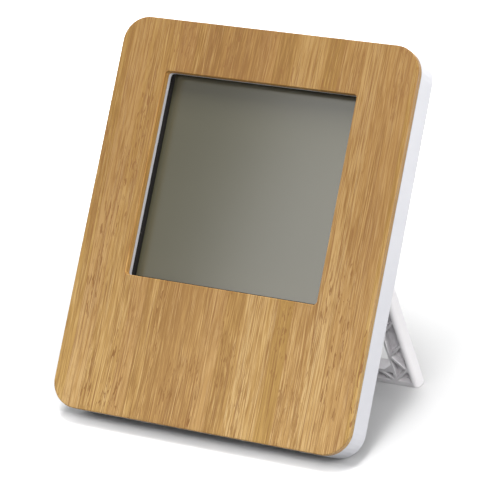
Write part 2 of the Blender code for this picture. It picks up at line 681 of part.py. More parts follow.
def make_rear_case(parent):
    """Moulded case: shell, recess of the stand, battery bay, bosses, sockets, rails and openings."""
    room = solid("tool", case_inner())
    cut(room, ring_around_island(CHANNEL_WALL))
    bay_block = prism(square_box(grown(BAY, BAY_WALL)), -0.001, 2 * CASE_DEPTH)
    cut(room, bay_block)
    bed = grown(DOOR_RECESS, TONGUE_WIDTH + CASE_WALL / 2)
    cut(room, prism(square_box(bed), DOOR_LEVEL - SEAT_GAP - CHANNEL_WALL, 2 * CASE_DEPTH))
    bosses = []
    for x, z, seat in case_screw_places():
        bosses.append(rod(BOSS_RADIUS, seat - BOSS_FLOOR, 2 * CASE_DEPTH, (x, z)))
    cut(room, *bosses)
    cut(room, hinge_block(-1), hinge_block(1))

    case = solid("rear_case", case_outer())
    cut(case, room)
    cut(case, ring_around_island(0.0))
    cut(case, prism(square_box(BAY), CASE_FRONT + BAY_WALL, 2 * CASE_DEPTH))
    recess, grooves, notches = door_cutters()
    cut(case, recess)
    cut(case, *grooves)
    cut(case, *notches)

    holes = []
    for x, z, seat in case_screw_places():
        holes.append(rod(SCREW_RADIUS + 2 * FIT_GAP, 0.0, 2 * CASE_DEPTH, (x, z)))
    cut(case, *holes)
    wells = [rod(SCREW_HEAD_RADIUS + SEAT_GAP, seat, 2 * CASE_DEPTH, (x, z))
             for x, z, seat in case_screw_places()]
    cut(case, *wells)
    reach = stand_half_width(0.0) + PIN_LENGTH + SEAT_GAP
    start = stand_half_width(0.0) - PIN_LENGTH
    socket = cross_rod(PIN_RADIUS + FIT_GAP, start, reach, HINGE_LEVEL, HINGE_HEIGHT)
    cut(case, socket, mirrored(socket))

    wall = (BACK_INSIDE - CASE_WALL, 2 * CASE_DEPTH)
    openings = [rod(BUTTON_RADIUS + SEAT_GAP, *wall, (x, BUTTON_HEIGHT), 24) for x in button_places()]
    openings += [rod(SOUND_HOLE_RADIUS, *wall, place, 10) for place in sound_hole_places()]
    for step in range(VENT_COUNT):
        x = SENSOR_OFFSET + (step - (VENT_COUNT - 1) / 2) * VENT_PITCH
        openings.append(prism(slot(x, SENSOR_HEIGHT, VENT_WIDTH, VENT_HEIGHT), *wall))
    cut(case, *openings)
    wire_hole = WIRE_RADIUS + 2 * FIT_GAP
    cut(case, *[cross_rod(wire_hole, BAY[0] - 2 * BAY_WALL, BAY[0] + BAY_WALL, CELL_AXIS_LEVEL, height, 12)
                for height in (LOWER_CELL_HEIGHT, UPPER_CELL_HEIGHT)])
    dress(case, "white_plastic", parent)


# Stand


def stand_profile():
    """Side view of the stand: flat outer face, heel stop, round knuckle and a foot cut level."""
    heel_front = (HEEL_HEIGHT * sin(OPEN_ANGLE) - HALF_THICK) / cos(OPEN_ANGLE)
    tip, toe = (HALF_THICK, -FOOT_TIP), (-HALF_THICK, -STAND_LENGTH)
    profile = [(HALF_THICK, HEEL_HEIGHT)]
    profile += rounded_corner((HALF_THICK, 0.0), tip, toe, FOOT_ROUND)
    profile.append(toe)
    for step in range(6):
        turn = OPEN_ANGLE * step / 5
        profile.append((-HALF_THICK * cos(turn), HALF_THICK * sin(turn)))
    profile.append((heel_front, HEEL_HEIGHT))
    return profile


def rib(start, end):
    """Outline of one rib, as a thin bar between two points."""
    along = Vector(end) - Vector(start)
    across = Vector((-along.y, along.x)).normalized() * RIB_THICKNESS / 2
    reach = along.normalized() * RIB_THICKNESS
    start, end = Vector(start) - reach, Vector(end) + reach
    return [tuple(point) for point in (start + across, start - across, end - across, end + across)]


def ribbed_pocket(outline, families):
    """Tool that cuts a pocket into the stand's inner face and leaves its ribs standing."""
    tool = solid("tool", prism(outline, -STAND_THICKNESS, RIB_DEPTH - HALF_THICK))
    for family in families:
        cut(tool, *[prism(outline, -2 * STAND_THICKNESS, 2 * STAND_THICKNESS) for outline in family])
    return tool


def leg_pocket(side):
    """Pocket of one leg: parallel ribs that rise outwards, and one more that crosses the lowest."""
    top, bottom = -STAND_SKIN - PIN_RADIUS, POCKET_FOOT

    def outer(height):
        return side * (stand_half_width(height) - LEG_OUTER_WALL), height

    def inner(height):
        return side * (stand_half_width(height) - LEG_WIDTH + STAND_WALL), height

    rise = RIB_SLOPE * (LEG_WIDTH - STAND_WALL - LEG_OUTER_WALL)
    start = bottom + RIB_THICKNESS / 2
    count = max(2, round((top - start) / RIB_PITCH))
    heights = [start + (top - start) * step / count for step in range(count)]
    rising = [rib(inner(height), outer(height + rise)) for height in heights]
    crossing = [rib(inner(heights[1]), outer(heights[1] - rise))]
    return ribbed_pocket([outer(top), inner(top), inner(bottom), outer(bottom)], (rising, crossing))


def bar_pocket(top, bottom):
    """Pocket of the foot bar or the crossbar, with ribs that fall towards both legs."""
    reach_top, reach_bottom = stand_half_width(top) - LEG_WIDTH, stand_half_width(bottom) - LEG_WIDTH
    outline = [(reach_top, top), (-reach_top, top), (-reach_bottom, bottom), (reach_bottom, bottom)]
    run = (top - bottom) / BAR_RIB_SLOPE
    ribs = []
    for step in range(int((reach_bottom - run - RIB_THICKNESS) / BAR_RIB_PITCH) + 1):
        foot = reach_bottom - step * BAR_RIB_PITCH
        for side in (-1, 1):
            ribs.append(rib((side * (foot - run), top), (side * foot, bottom)))
    return ribbed_pocket(outline, [ribs])


def stand_block():
    """The stand's outline through its thickness, with the legs' front outer edges rounded."""
    top, bottom = 2 * HEEL_HEIGHT, -FOOT_TIP - HEEL_HEIGHT
    sections = [(-STAND_THICKNESS, stand_outline(top, bottom, -LEG_ROUND))]
    for step in range(1, 6):
        turn = pi / 2 * step / 5
        inset, level = LEG_ROUND * (1 - sin(turn)), LEG_ROUND * (1 - cos(turn)) - HALF_THICK
        sections.append((level, stand_outline(top, bottom, -inset)))
    sections.insert(1, (-HALF_THICK, sections[0][1]))
    sections.append((STAND_THICKNESS, sections[-1][1]))
    return loft(sections)


def make_stand(parent):
    """Open frame with ribbed legs and bars, level foot, heel stop and two pivot pins."""
    stand = solid("stand", side_block(stand_profile(), -PANEL_WIDTH, PANEL_WIDTH))
    combine(stand, "INTERSECT", stand_block())
    high, low = -CROSSBAR_HEIGHT, FOOT_BAR_HEIGHT - STAND_LENGTH
    cut(stand, prism(stand_opening(high, low, 0.0), -STAND_THICKNESS, STAND_THICKNESS))
    for side in (-1, 1):
        cut(stand, leg_pocket(side))
    cut(stand, bar_pocket(low - STAND_WALL, POCKET_FOOT))
    cut(stand, bar_pocket(-STAND_SKIN, high + STAND_WALL))
    reach = stand_half_width(0.0)
    pin = cross_rod(PIN_RADIUS, reach - STAND_WALL, reach + PIN_LENGTH, 0.0, 0.0)
    join(stand, pin, mirrored(pin))
    hinge = add_empty("stand_hinge", parent, (0.0, HINGE_LEVEL, HINGE_HEIGHT), OPEN_ANGLE)
    dress(stand, "white_plastic", hinge)


# Battery bay


def make_cell(name, height, plus_side, parent):
    """One AAA cell with its raised plus contact on the given side."""
    rim = CELL_RADIUS / 8
    profile = [(0.0, 0.0), (CELL_RADIUS - rim, 0.0), (CELL_RADIUS, rim), (CELL_RADIUS, CELL_LENGTH - rim),
               (CELL_RADIUS - rim, CELL_LENGTH), (NUB_RADIUS, CELL_LENGTH),
               (NUB_RADIUS, CELL_LENGTH + NUB_LENGTH), (0.0, CELL_LENGTH + NUB_LENGTH)]
    shape = moved(along_x(turned(profile, 24)), BAY[1] - CONTACT_STACK - CELL_LENGTH - NUB_LENGTH)
    if plus_side < 0:
        shape = mirrored(shape)
    dress(solid(name, shape), "cell_wrap", parent, (0.0, CELL_AXIS_LEVEL, height))


def contact_plate(side, low, high):
    """Thin plate against one end wall of the bay."""
    near = BAY[1] - SEAT_GAP - CONTACT_THICKNESS
    half = CONTACT_WIDTH / 2
    profile = [(CELL_AXIS_LEVEL - half, high), (CELL_AXIS_LEVEL - half, low),
               (CELL_AXIS_LEVEL + half, low), (CELL_AXIS_LEVEL + half, high)]
    shape = side_block(profile, near, near + CONTACT_THICKNESS)
    return mirrored(shape) if side < 0 else shape


def make_spring(name, side, height, parent):
    """Coned coil spring between a contact plate and a cell's flat end, as one round wire."""
    per_turn = 10
    count = int(SPRING_TURNS * per_turn)
    length = SPRING_LENGTH - 2 * SPRING_WIRE
    start = side * (BAY[1] - CONTACT_STACK - SPRING_WIRE)
    curve = bpy.data.curves.new(name, "CURVE")
    curve.dimensions = "3D"
    curve.bevel_depth = SPRING_WIRE
    curve.bevel_resolution = 1
    curve.use_fill_caps = True
    line = curve.splines.new("POLY")
    line.points.add(count)
    for step, point in enumerate(line.points):
        turn = 2 * pi * step / per_turn
        radius = SPRING_RADIUS * (1 - 0.3 * step / count)
        x = start - side * length * step / count
        point.co = (x, radius * cos(turn), radius * sin(turn), 1.0)
    coil = bpy.data.objects.new(name, curve)
    bpy.context.scene.collection.objects.link(coil)
    coil.parent = parent
    coil.location = (0.0, CELL_AXIS_LEVEL, height)
    curve.materials.append(finish("metal"))


def make_contacts(parent):
    """Plates and springs at both ends of the cells."""
    half = CONTACT_WIDTH / 2
    upper, lower = UPPER_CELL_HEIGHT, LOWER_CELL_HEIGHT
    plates = (("contact_plate_positive", -1, upper - half, upper + half),
              ("contact_plate_negative", -1, lower - half, lower + half),
              ("contact_bridge", 1, lower - half, upper + half))
    for name, side, low, high in plates:
        dress(solid(name, contact_plate(side, low, high)), "metal", parent)
    make_spring("contact_spring_negative", -1, lower, parent)
    make_spring("contact_spring_bridge", 1, upper, parent)


def make_battery_door(parent):
    """Flush door with two tongues a side and finger grooves; it slides up to come off."""
    middle_x, middle_z = (DOOR[0] + DOOR[1]) / 2, (DOOR[2] + DOOR[3]) / 2
    door = solid("battery_door", prism(square_box(DOOR), DOOR_LEVEL, CASE_DEPTH))
    tongues = []
    for side in (-1, 1):
        for box in tongue_boxes(side, 0.0, 0.0, 0.0):
            front = DOOR_LEVEL + FIT_GAP
            tongues.append(prism(square_box(box), front, front + TONGUE_THICKNESS))
    join(door, *tongues)
    grip_length = (DOOR[1] - DOOR[0]) / 4
    grips = []
    for step in range(4):
        height = DOOR[2] + 2 * DOOR_LAP + 4 * step * GRIP_DEPTH
        box = (-grip_length / 2, grip_length / 2, height - GRIP_DEPTH, height + GRIP_DEPTH)
        grips.append(prism(square_box(box), CASE_DEPTH - GRIP_DEPTH, 2 * CASE_DEPTH))
    cut(door, *grips)
    door.data.transform(Matrix.Translation((-middle_x, -DOOR_LEVEL, -middle_z)))
    dress(door, "white_plastic", parent, (middle_x, DOOR_LEVEL, middle_z))


# Circuit board and its pieces


def button_places():
    """X of each button, in a row across the back."""
    count = len(BUTTON_NAMES)
    return [(step - (count - 1) / 2) * BUTTON_PITCH for step in range(count)]


def sound_hole_places():
    """A hole with a ring of six around it over the buzzer."""
    ring = circle(3.2 * SOUND_HOLE_RADIUS, 6, (-BUZZER_OFFSET, SENSOR_HEIGHT))
    return [(-BUZZER_OFFSET, SENSOR_HEIGHT)] + ring


def make_board(parent):
    """Board with two shoulders that leave room for the case's top bosses."""
    wide = CASE_INSIDE - BOARD_EDGE_GAP
    narrow = TOP_SCREW[0] - BOSS_RADIUS - BOARD_EDGE_GAP
    outline = [(wide, BOARD_SHOULDER), (narrow, BOARD_SHOULDER), (narrow, BOARD_TOP),
               (-narrow, BOARD_TOP), (-narrow, BOARD_SHOULDER), (-wide, BOARD_SHOULDER),
               (-wide, BOARD_BOTTOM), (wide, BOARD_BOTTOM)]
    board = solid("circuit_board", prism(outline, BOARD_LEVEL, BOARD_BACK))
    holes = [rod(SCREW_RADIUS + 2 * FIT_GAP, 0.0, CASE_DEPTH, place, 12) for place in board_post_places()]
    cut(board, *holes)
    dress(board, "board", parent)


def make_board_parts(parent):
    """Chip, crystal, capacitor, sensors and buzzer on the back of the board."""
    seat = BOARD_BACK + SEAT_GAP
    dome = [(0.0, 0.0)]
    for step in range(5):
        turn = pi / 2 * step / 4
        dome.append((CHIP_RADIUS * cos(turn) if step < 4 else 0.0, CHIP_HEIGHT * sin(turn)))
    dress(solid("chip_blob", turned(dome, 20)), "black_plastic", parent, (0.0, seat, SENSOR_HEIGHT))

    crystal = cross_rod(CRYSTAL_RADIUS, 0.0, CRYSTAL_LENGTH, CRYSTAL_RADIUS, 0.0, 12)
    crystal_x = CHIP_RADIUS + CRYSTAL_LENGTH / 3
    dress(solid("crystal", crystal), "metal", parent, (crystal_x, seat, SENSOR_HEIGHT))
    capacitor = cross_rod(CAPACITOR_RADIUS, -CAPACITOR_LENGTH, 0.0, CAPACITOR_RADIUS, 0.0, 14)
    dress(solid("capacitor", capacitor), "black_plastic", parent,
          (-CHIP_RADIUS - CAPACITOR_LENGTH / 3, seat, SENSOR_HEIGHT))

    half = VENT_PITCH * 0.8
    humid = prism(square_box((-half, half, -half, half)), 0.0, CHIP_HEIGHT)
    dress(solid("humidity_sensor", humid), "white_plastic", parent,
          (SENSOR_OFFSET - half - VENT_PITCH / 4, seat, SENSOR_HEIGHT))
    bead = [(0.0, 0.0)]
    for step in range(1, 6):
        turn = pi * step / 6
        bead.append((CRYSTAL_RADIUS * sin(turn), CRYSTAL_RADIUS * (1 - cos(turn))))
    bead.append((0.0, 2 * CRYSTAL_RADIUS))
    dress(solid("temperature_sensor", turned(bead, 12)), "black_plastic", parent,
          (SENSOR_OFFSET + VENT_PITCH, seat, SENSOR_HEIGHT))

    rim = BUZZER_HEIGHT / 8
    can = [(0.0, 0.0), (BUZZER_RADIUS, 0.0), (BUZZER_RADIUS, BUZZER_HEIGHT - rim),
           (BUZZER_RADIUS - rim, BUZZER_HEIGHT), (SOUND_HOLE_RADIUS, BUZZER_HEIGHT),
           (SOUND_HOLE_RADIUS, BUZZER_HEIGHT / 2), (0.0, BUZZER_HEIGHT / 2)]
    dress(solid("buzzer", turned(can, 24)), "black_plastic", parent, (-BUZZER_OFFSET, seat, SENSOR_HEIGHT))


def make_buttons(parent):
    """Round button caps held behind the back wall, each over the plunger of its switch."""
    flange = BUTTON_RADIUS + BUTTON_FLANGE
    flange_back = BACK_INSIDE - SEAT_GAP
    flange_front = flange_back - FLANGE_THICKNESS
    tip = CASE_DEPTH + BUTTON_PROUD
    dome = BUTTON_PROUD * 0.7
    profile = [(0.0, flange_front), (flange, flange_front), (flange, flange_back),
               (BUTTON_RADIUS, flange_back),
               (BUTTON_RADIUS, tip - dome), (BUTTON_RADIUS - dome / 3, tip - dome / 3),
               (BUTTON_RADIUS - dome, tip), (0.0, tip)]
    half = SWITCH_SIZE / 2
    seat = BOARD_BACK + SEAT_GAP
    plunger_end = flange_front - BUTTON_TRAVEL - SEAT_GAP
    plunger_start = seat + SWITCH_HEIGHT / 2
    body_top = min(seat + SWITCH_HEIGHT, plunger_end - SEAT_GAP)
    for name, x in zip(BUTTON_NAMES, button_places()):
        cap = solid("button_" + name, turned([(r, level - flange_front) for r, level in profile], 28))
        dress(cap, "white_plastic", parent, (x, flange_front, BUTTON_HEIGHT))
        switch = solid("switch_" + name, prism(square_box((-half, half, -half, half)), seat, body_top))
        join(switch, rod(PLUNGER_RADIUS, plunger_start, plunger_end, steps=14))
        dress(switch, "black_plastic", parent, (x, 0.0, BUTTON_HEIGHT))


# Screws and wires


def screw_shape():
    """Pan head with a coned tip, head outwards, seat at level 0."""
    rounding = SCREW_HEAD_HEIGHT / 3
    return turned([(0.0, -SCREW_LENGTH), (SCREW_RADIUS, SCREW_RADIUS - SCREW_LENGTH), (SCREW_RADIUS, 0.0),
                   (SCREW_HEAD_RADIUS, 0.0), (SCREW_HEAD_RADIUS, SCREW_HEAD_HEIGHT - rounding),
                   (SCREW_HEAD_RADIUS - rounding, SCREW_HEAD_HEIGHT), (0.0, SCREW_HEAD_HEIGHT)], 16)


def make_screws(parent):
    """Four screws hold the case and four hold the board; all share one mesh with a cross recess."""
    pattern = solid("screw", screw_shape())
    arm, half = SCREW_HEAD_RADIUS * 0.6, SCREW_HEAD_RADIUS * 0.14
    depth = SCREW_HEAD_HEIGHT / 2
    for box in ((-arm, arm, -half, half), (-half, half, -arm, arm)):
        cut(pattern, prism(square_box(box), depth, 2 * SCREW_HEAD_HEIGHT))
    places = [("case_screw_" + name, x, seat + SEAT_GAP / 3, z) for name, (x, z, seat) in
              zip(("top_left", "top_right", "foot_left", "foot_right"), case_screw_places())]
    places += [("board_screw_" + name, x, BOARD_BACK + SEAT_GAP, z) for name, (x, z) in
               zip(("lower_left", "upper_left", "lower_right", "upper_right"), board_post_places())]
    for name, x, y, z in places:
        screw = bpy.data.objects.new(name, pattern.data)
        bpy.context.scene.collection.objects.link(screw)
        dress(screw, "metal", parent, (x, y, z))
    bpy.data.objects.remove(pattern)


def make_wire(name, look, height, lane, top, parent):
    """Wire from a contact plate, out of the bay and up along the case's side to the board."""
    level = (PLATE_BACK + CHANNEL_FLOOR - CHANNEL_WALL) / 2
    start, end = (BAY[0] + FIT_GAP, CELL_AXIS_LEVEL, height), (lane, BOARD_LEVEL - SEAT_GAP, top)
    lower_bend, upper_bend = (lane, level, height), (lane, level, top)
    route = [start] + rounded_corner(start, lower_bend, upper_bend, 5 * WIRE_RADIUS, 6)
    route += rounded_corner(lower_bend, upper_bend, end, 2.5 * WIRE_RADIUS, 4) + [end]
    curve = bpy.data.curves.new(name, "CURVE")
    curve.dimensions = "3D"
    curve.bevel_depth = WIRE_RADIUS
    curve.bevel_resolution = 2
    curve.use_fill_caps = True
    line = curve.splines.new("POLY")
    line.points.add(len(route) - 1)
    for point, place in zip(line.points, route):
        point.co = (*place, 1.0)
    wire = bpy.data.objects.new(name, curve)
    bpy.context.scene.collection.objects.link(wire)
    wire.parent = parent
    curve.materials.append(finish(look))


def make_wires(parent):
    """Two battery wires, one on each side of the board posts."""
    post = board_post_places()[0][0]
    inner_lane = (post + POST_RADIUS + POCKET_OUTER[0]) / 2
    outer_lane = (post - POST_RADIUS - CASE_INSIDE) / 2
    top = BOARD_BOTTOM + 2 * POST_RADIUS
    make_wire("battery_wire_positive", "red_wire", UPPER_CELL_HEIGHT, inner_lane, top, parent)
    make_wire("battery_wire_negative", "black_wire", LOWER_CELL_HEIGHT, outer_lane, top, parent)


def stand_on_floor(carrier):
    """Move the whole model so that the middle of its footprint is the origin."""
    bpy.context.view_layer.update()
    graph = bpy.context.evaluated_depsgraph_get()
    corners = []
    for item in bpy.context.scene.objects:
        if item.type == "EMPTY":
            continue
        mesh = bpy.data.meshes.new_from_object(item.evaluated_get(graph))
        corners += [item.matrix_world @ vertex.co for vertex in mesh.vertices]
        bpy.data.meshes.remove(mesh)
    low = Vector([min(corner[axis] for corner in corners) for axis in range(3)])
    high = Vector([max(corner[axis] for corner in corners) for axis in range(3)])
    carrier.location = (-(low.x + high.x) / 2, -(low.y + high.y) / 2, -low.z)


def main():
    for item in list(bpy.data.objects):
        bpy.data.objects.remove(item)
    axes = add_empty("case_axes", turn=-LEAN_ANGLE)
    make_bamboo_panel(axes)
    make_tapes(axes)
    make_front_frame(axes)
    make_display(axes)
    make_rear_case(axes)
    make_stand(axes)
    make_cell("cell_upper", UPPER_CELL_HEIGHT, -1, axes)
    make_cell("cell_lower", LOWER_CELL_HEIGHT, 1, axes)
    make_contacts(axes)
    make_battery_door(axes)
    make_board(axes)
    make_board_parts(axes)
    make_buttons(axes)
    make_screws(axes)
    make_wires(axes)
    stand_on_floor(axes)


main()
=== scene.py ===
"""Looks of the bamboo weather station: its finishes, its shaped board and gasket, and the studio around it."""
import json
from math import atan2, cos, sin

import bpy
import numpy as np
from mathutils import Matrix, Vector


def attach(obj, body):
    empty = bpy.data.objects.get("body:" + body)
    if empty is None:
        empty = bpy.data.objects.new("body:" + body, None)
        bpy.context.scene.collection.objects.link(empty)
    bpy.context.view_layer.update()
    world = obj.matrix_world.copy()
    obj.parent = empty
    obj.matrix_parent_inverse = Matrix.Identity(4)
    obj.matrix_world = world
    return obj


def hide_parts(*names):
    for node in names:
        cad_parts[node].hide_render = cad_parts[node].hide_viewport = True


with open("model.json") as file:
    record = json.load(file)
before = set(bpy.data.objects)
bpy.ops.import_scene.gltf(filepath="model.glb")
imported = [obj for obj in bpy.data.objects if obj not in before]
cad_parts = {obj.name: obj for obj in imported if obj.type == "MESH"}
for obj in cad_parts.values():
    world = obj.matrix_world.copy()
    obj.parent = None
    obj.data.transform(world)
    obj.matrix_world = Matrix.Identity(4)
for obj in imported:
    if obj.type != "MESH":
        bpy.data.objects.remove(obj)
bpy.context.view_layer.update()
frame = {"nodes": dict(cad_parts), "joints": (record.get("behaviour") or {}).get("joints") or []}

bl_info = {
    "name": "Bamboo weather station",
    "version": (1, 0, 0),
    "blender": (4, 5, 0),
    "location": "View3D > Sidebar > Station",
    "description": "Dresses the desk weather station in bamboo, moulded plastic and glass",
    "category": "Object",
}

MILLIMETRES = 1000.0
JOINTS = {joint["name"]: joint for joint in frame["joints"]}
# The stand's hinge on the case's axes: its distance behind the board's face and above the case's underside.
HINGE_LEVEL = 0.0152
HINGE_HEIGHT = 0.0785


def case_axes():
    """World matrix of the case's own axes: x across, y from the board's face to the back, z up the board.

    The battery door slides along z, and the stand's hinge lies at a known level and height on these axes.
    """
    up = Vector(JOINTS["battery_door_slide"]["axis"]).normalized()
    lean = atan2(up.y, up.z)
    turn = Matrix.Rotation(-lean, 3, "X")
    corner = Vector(JOINTS["stand_fold"]["pos_m"]) - turn @ Vector((0.0, HINGE_LEVEL, HINGE_HEIGHT))
    return lean, turn, corner


LEAN, TURN, CORNER = case_axes()


# ---------------------------------------------------------------- settings

class BoardSettings(bpy.types.PropertyGroup):
    """The bamboo board and its grain."""

    thickness: bpy.props.FloatProperty(
        name="Thickness", description="Thickness of the board", default=0.003, unit="LENGTH")
    corner: bpy.props.FloatProperty(
        name="Corner radius", description="Radius of the board's four corners", default=0.0084, unit="LENGTH")
    edge: bpy.props.FloatProperty(
        name="Edge round", description="Round on the front outer edge", default=0.0004, unit="LENGTH")
    window_edge: bpy.props.FloatProperty(
        name="Window edge round", description="Round on the window's front edge", default=0.0002, unit="LENGTH")
    window_corner: bpy.props.FloatProperty(
        name="Window corner", description="Radius of the window's corners", default=0.0012, unit="LENGTH")
    strip: bpy.props.FloatProperty(
        name="Strip width", description="Width of one glued bamboo strip", default=0.0056, unit="LENGTH")
    pale: bpy.props.FloatVectorProperty(
        name="Pale strip", description="Colour of the palest strips", subtype="COLOR", size=3,
        default=(0.545, 0.352, 0.158))
    honey: bpy.props.FloatVectorProperty(
        name="Honey strip", description="Colour of most strips", subtype="COLOR", size=3,
        default=(0.425, 0.246, 0.086))
    brown: bpy.props.FloatVectorProperty(
        name="Brown strip", description="Colour of the darkest strips", subtype="COLOR", size=3,
        default=(0.300, 0.158, 0.050))
    fibre: bpy.props.FloatVectorProperty(
        name="Fibre", description="Colour of the dark fibres and node marks", subtype="COLOR", size=3,
        default=(0.245, 0.112, 0.030))


class PlasticSettings(bpy.types.PropertyGroup):
    """The white mouldings."""

    white: bpy.props.FloatVectorProperty(
        name="Case white", description="Colour of the case, plate, door and buttons", subtype="COLOR", size=3,
        default=(0.690, 0.692, 0.735))
    # The stand's white is paler than the case's: painted light that brightens its shaded ribs and pockets.
    stand_white_painted_light: bpy.props.FloatVectorProperty(
        name="Stand white", description="Colour of the stand", subtype="COLOR", size=3,
        default=(0.865, 0.845, 0.860))


class DisplaySettings(bpy.types.PropertyGroup):
    """The blank display."""

    face: bpy.props.FloatVectorProperty(
        name="Display face", description="Colour of the blank display", subtype="COLOR", size=3,
        default=(0.080, 0.075, 0.046))


class StageSettings(bpy.types.PropertyGroup):
    """Camera and light."""

    camera_place: bpy.props.FloatVectorProperty(
        name="Camera", description="Where the camera stands", subtype="TRANSLATION", unit="LENGTH", size=3,
        default=(0.29664, -0.64711, 0.30815))
    camera_right: bpy.props.FloatVectorProperty(
        name="Camera right", description="Direction to the camera's right", subtype="XYZ", size=3,
        default=(0.9076, 0.4198, 0.0))
    camera_back: bpy.props.FloatVectorProperty(
        name="Camera back", description="Direction from the subject to the camera", subtype="XYZ", size=3,
        default=(0.3956, -0.8554, 0.3343))
    lens: bpy.props.FloatProperty(
        name="Lens", description="Focal length in millimetres on a 36 mm sensor", default=181.5, unit="CAMERA")
    top_power: bpy.props.FloatProperty(
        name="Top power", description="Power in watts of the softbox high above", default=19.0, unit="POWER")
    front_power: bpy.props.FloatProperty(
        name="Front power", description="Power in watts of the softbox over the camera", default=6.6,
        unit="POWER")
    side_power: bpy.props.FloatProperty(
        name="Side power", description="Power in watts of the low softbox on the right", default=3.9,
        unit="POWER")
    window_power: bpy.props.FloatProperty(
        name="Window power", description="Power in watts of the softbox that the display mirrors", default=0.68,
        unit="POWER")
    left_power: bpy.props.FloatProperty(
        name="Left power", description="Power in watts of the weak softbox on the left", default=1.3,
        unit="POWER")
    back_power: bpy.props.FloatProperty(
        name="Back power", description="Power in watts of the softbox behind the object", default=6.0,
        unit="POWER")
    room_light: bpy.props.FloatProperty(
        name="Room light", description="Strength of the even light from all sides", default=0.15)


# ---------------------------------------------------------------- node trees

def add_node(tree, kind, values=None, **settings):
    """Adds one node; values gives its sockets, by name or place, a number, a colour or a node's output."""
    node = tree.nodes.new(kind)
    for name, value in settings.items():
        setattr(node, name, value)
    for key, value in (values or {}).items():
        if isinstance(value, bpy.types.NodeSocket):
            tree.links.new(value, node.inputs[key])
        else:
            node.inputs[key].default_value = value
    return node


def maths(tree, operation, first, second=0.0, third=0.0):
    """Output of one Math node."""
    values = {0: first, 1: second, 2: third}
    return add_node(tree, "ShaderNodeMath", values, operation=operation).outputs[0]


def ramp(tree, value, low, high, start=0.0, end=1.0):
    """Output that goes smoothly from start to end while value goes from low to high."""
    values = {"Value": value, "From Min": low, "From Max": high, "To Min": start, "To Max": end}
    return add_node(tree, "ShaderNodeMapRange", values, interpolation_type="SMOOTHSTEP").outputs["Result"]


def stretched(tree, point, scale, shift=(0.0, 0.0, 0.0)):
    """The point with its three coordinates scaled, so a noise on it is drawn out along the small scales."""
    values = {"Vector": point, "Scale": scale, "Location": shift}
    return add_node(tree, "ShaderNodeMapping", values).outputs["Vector"]


def noise(tree, point, detail=2.0, roughness=0.5, scale=1.0, distortion=0.0):
    """Value of a noise texture on that point."""
    values = {"Vector": point, "Scale": scale, "Detail": detail, "Roughness": roughness,
              "Distortion": distortion}
    return add_node(tree, "ShaderNodeTexNoise", values).outputs["Fac"]


def blend_colour(tree, share, first, second, mode="MIX"):
    """Mixes two colours by share."""
    node = add_node(tree, "ShaderNodeMix", data_type="RGBA", blend_type=mode)
    for place, value in ((0, share), (6, first), (7, second)):
        if isinstance(value, bpy.types.NodeSocket):
            tree.links.new(value, node.inputs[place])
        else:
            node.inputs[place].default_value = value if place == 0 else (*value[:3], 1.0)
    return node.outputs[2]


def new_group(name, inputs, outputs):
    """An empty node group with named sockets; inputs are (name, kind, default), outputs (name, kind)."""
    tree = bpy.data.node_groups.new(name, "ShaderNodeTree")
    for label, kind, value in inputs:
        socket = tree.interface.new_socket(label, in_out="INPUT", socket_type="NodeSocket" + kind)
        socket.default_value = value
    for label, kind in outputs:
        tree.interface.new_socket(label, in_out="OUTPUT", socket_type="NodeSocket" + kind)
    return tree, add_node(tree, "NodeGroupInput").outputs, add_node(tree, "NodeGroupOutput")


def use_group(tree, group, **values):
    """Places a group; a value's name has underscores for the spaces of its socket."""
    node = add_node(tree, "ShaderNodeGroup", node_tree=group)
    for key, value in values.items():
        label = key.replace("_", " ")
        if isinstance(value, bpy.types.NodeSocket):
            tree.links.new(value, node.inputs[label])
        else:
            node.inputs[label].default_value = value
    return node.outputs


def close_group(tree, output, results):
    """Links the results to the group's outputs by name."""
    for label, value in results.items():
        tree.links.new(value, output.inputs[label])
    return tree


def case_point(tree):
    """Object coordinates turned to the case's own axes, in millimetres."""
    place = -(TURN.inverted() @ CORNER) * MILLIMETRES
    values = {
        "Vector": add_node(tree, "ShaderNodeTexCoord").outputs["Object"],
        "Scale": (MILLIMETRES,) * 3,
        "Rotation": (LEAN, 0.0, 0.0),
        "Location": place,
    }
    return add_node(tree, "ShaderNodeMapping", values).outputs["Vector"]


def world_point(tree):
    """Object coordinates in millimetres."""
    return stretched(tree, add_node(tree, "ShaderNodeTexCoord").outputs["Object"], (MILLIMETRES,) * 3)


def bump(tree, height, depth, normal=None):
    """Normal of a surface whose height in parts of depth metres is given."""
    values = {"Height": height, "Distance": depth, "Strength": 1.0}
    if normal is not None:
        values["Normal"] = normal
    return add_node(tree, "ShaderNodeBump", values).outputs["Normal"]


def new_material(name, **constants):
    """A material with a Principled shader; constants go straight on the shader's own sockets."""
    material = bpy.data.materials.new(name)
    material.use_nodes = True
    tree = material.node_tree
    tree.nodes.clear()
    shader = add_node(tree, "ShaderNodeBsdfPrincipled")
    output = add_node(tree, "ShaderNodeOutputMaterial")
    tree.links.new(shader.outputs["BSDF"], output.inputs["Surface"])
    for label, value in constants.items():
        shader.inputs[label.replace("_", " ")].default_value = value
    return material, tree, shader


def feed(tree, shader, **links):
    """Links outputs to the shader's sockets by name."""
    for label, value in links.items():
        tree.links.new(value, shader.inputs[label.replace("_", " ")])


def dress(material, *names):
    """Gives CAD nodes that material in all their slots."""
    for name in names:
        for place in frame["nodes"][name].material_slots:
            place.material = material


# ---------------------------------------------------------------- shared effects

# The strips wander sideways by up to DRIFT_REACH millimetres, and shift with the depth by STRIP_SLANT of it. Each
# takes its fibres from another place of the noise, up to STRIP_JUMP millimetres away. GLUE_SHARE is the width of a
# glue line in parts of a strip's.
DRIFT_SCALE = (0.015, 0.015, 0.011)
DRIFT_REACH = 3.0
STRIP_SLANT = 0.12
STRIP_RANDOMNESS = 0.75
STRIP_JUMP = 400.0
GLUE_SHARE = 0.035

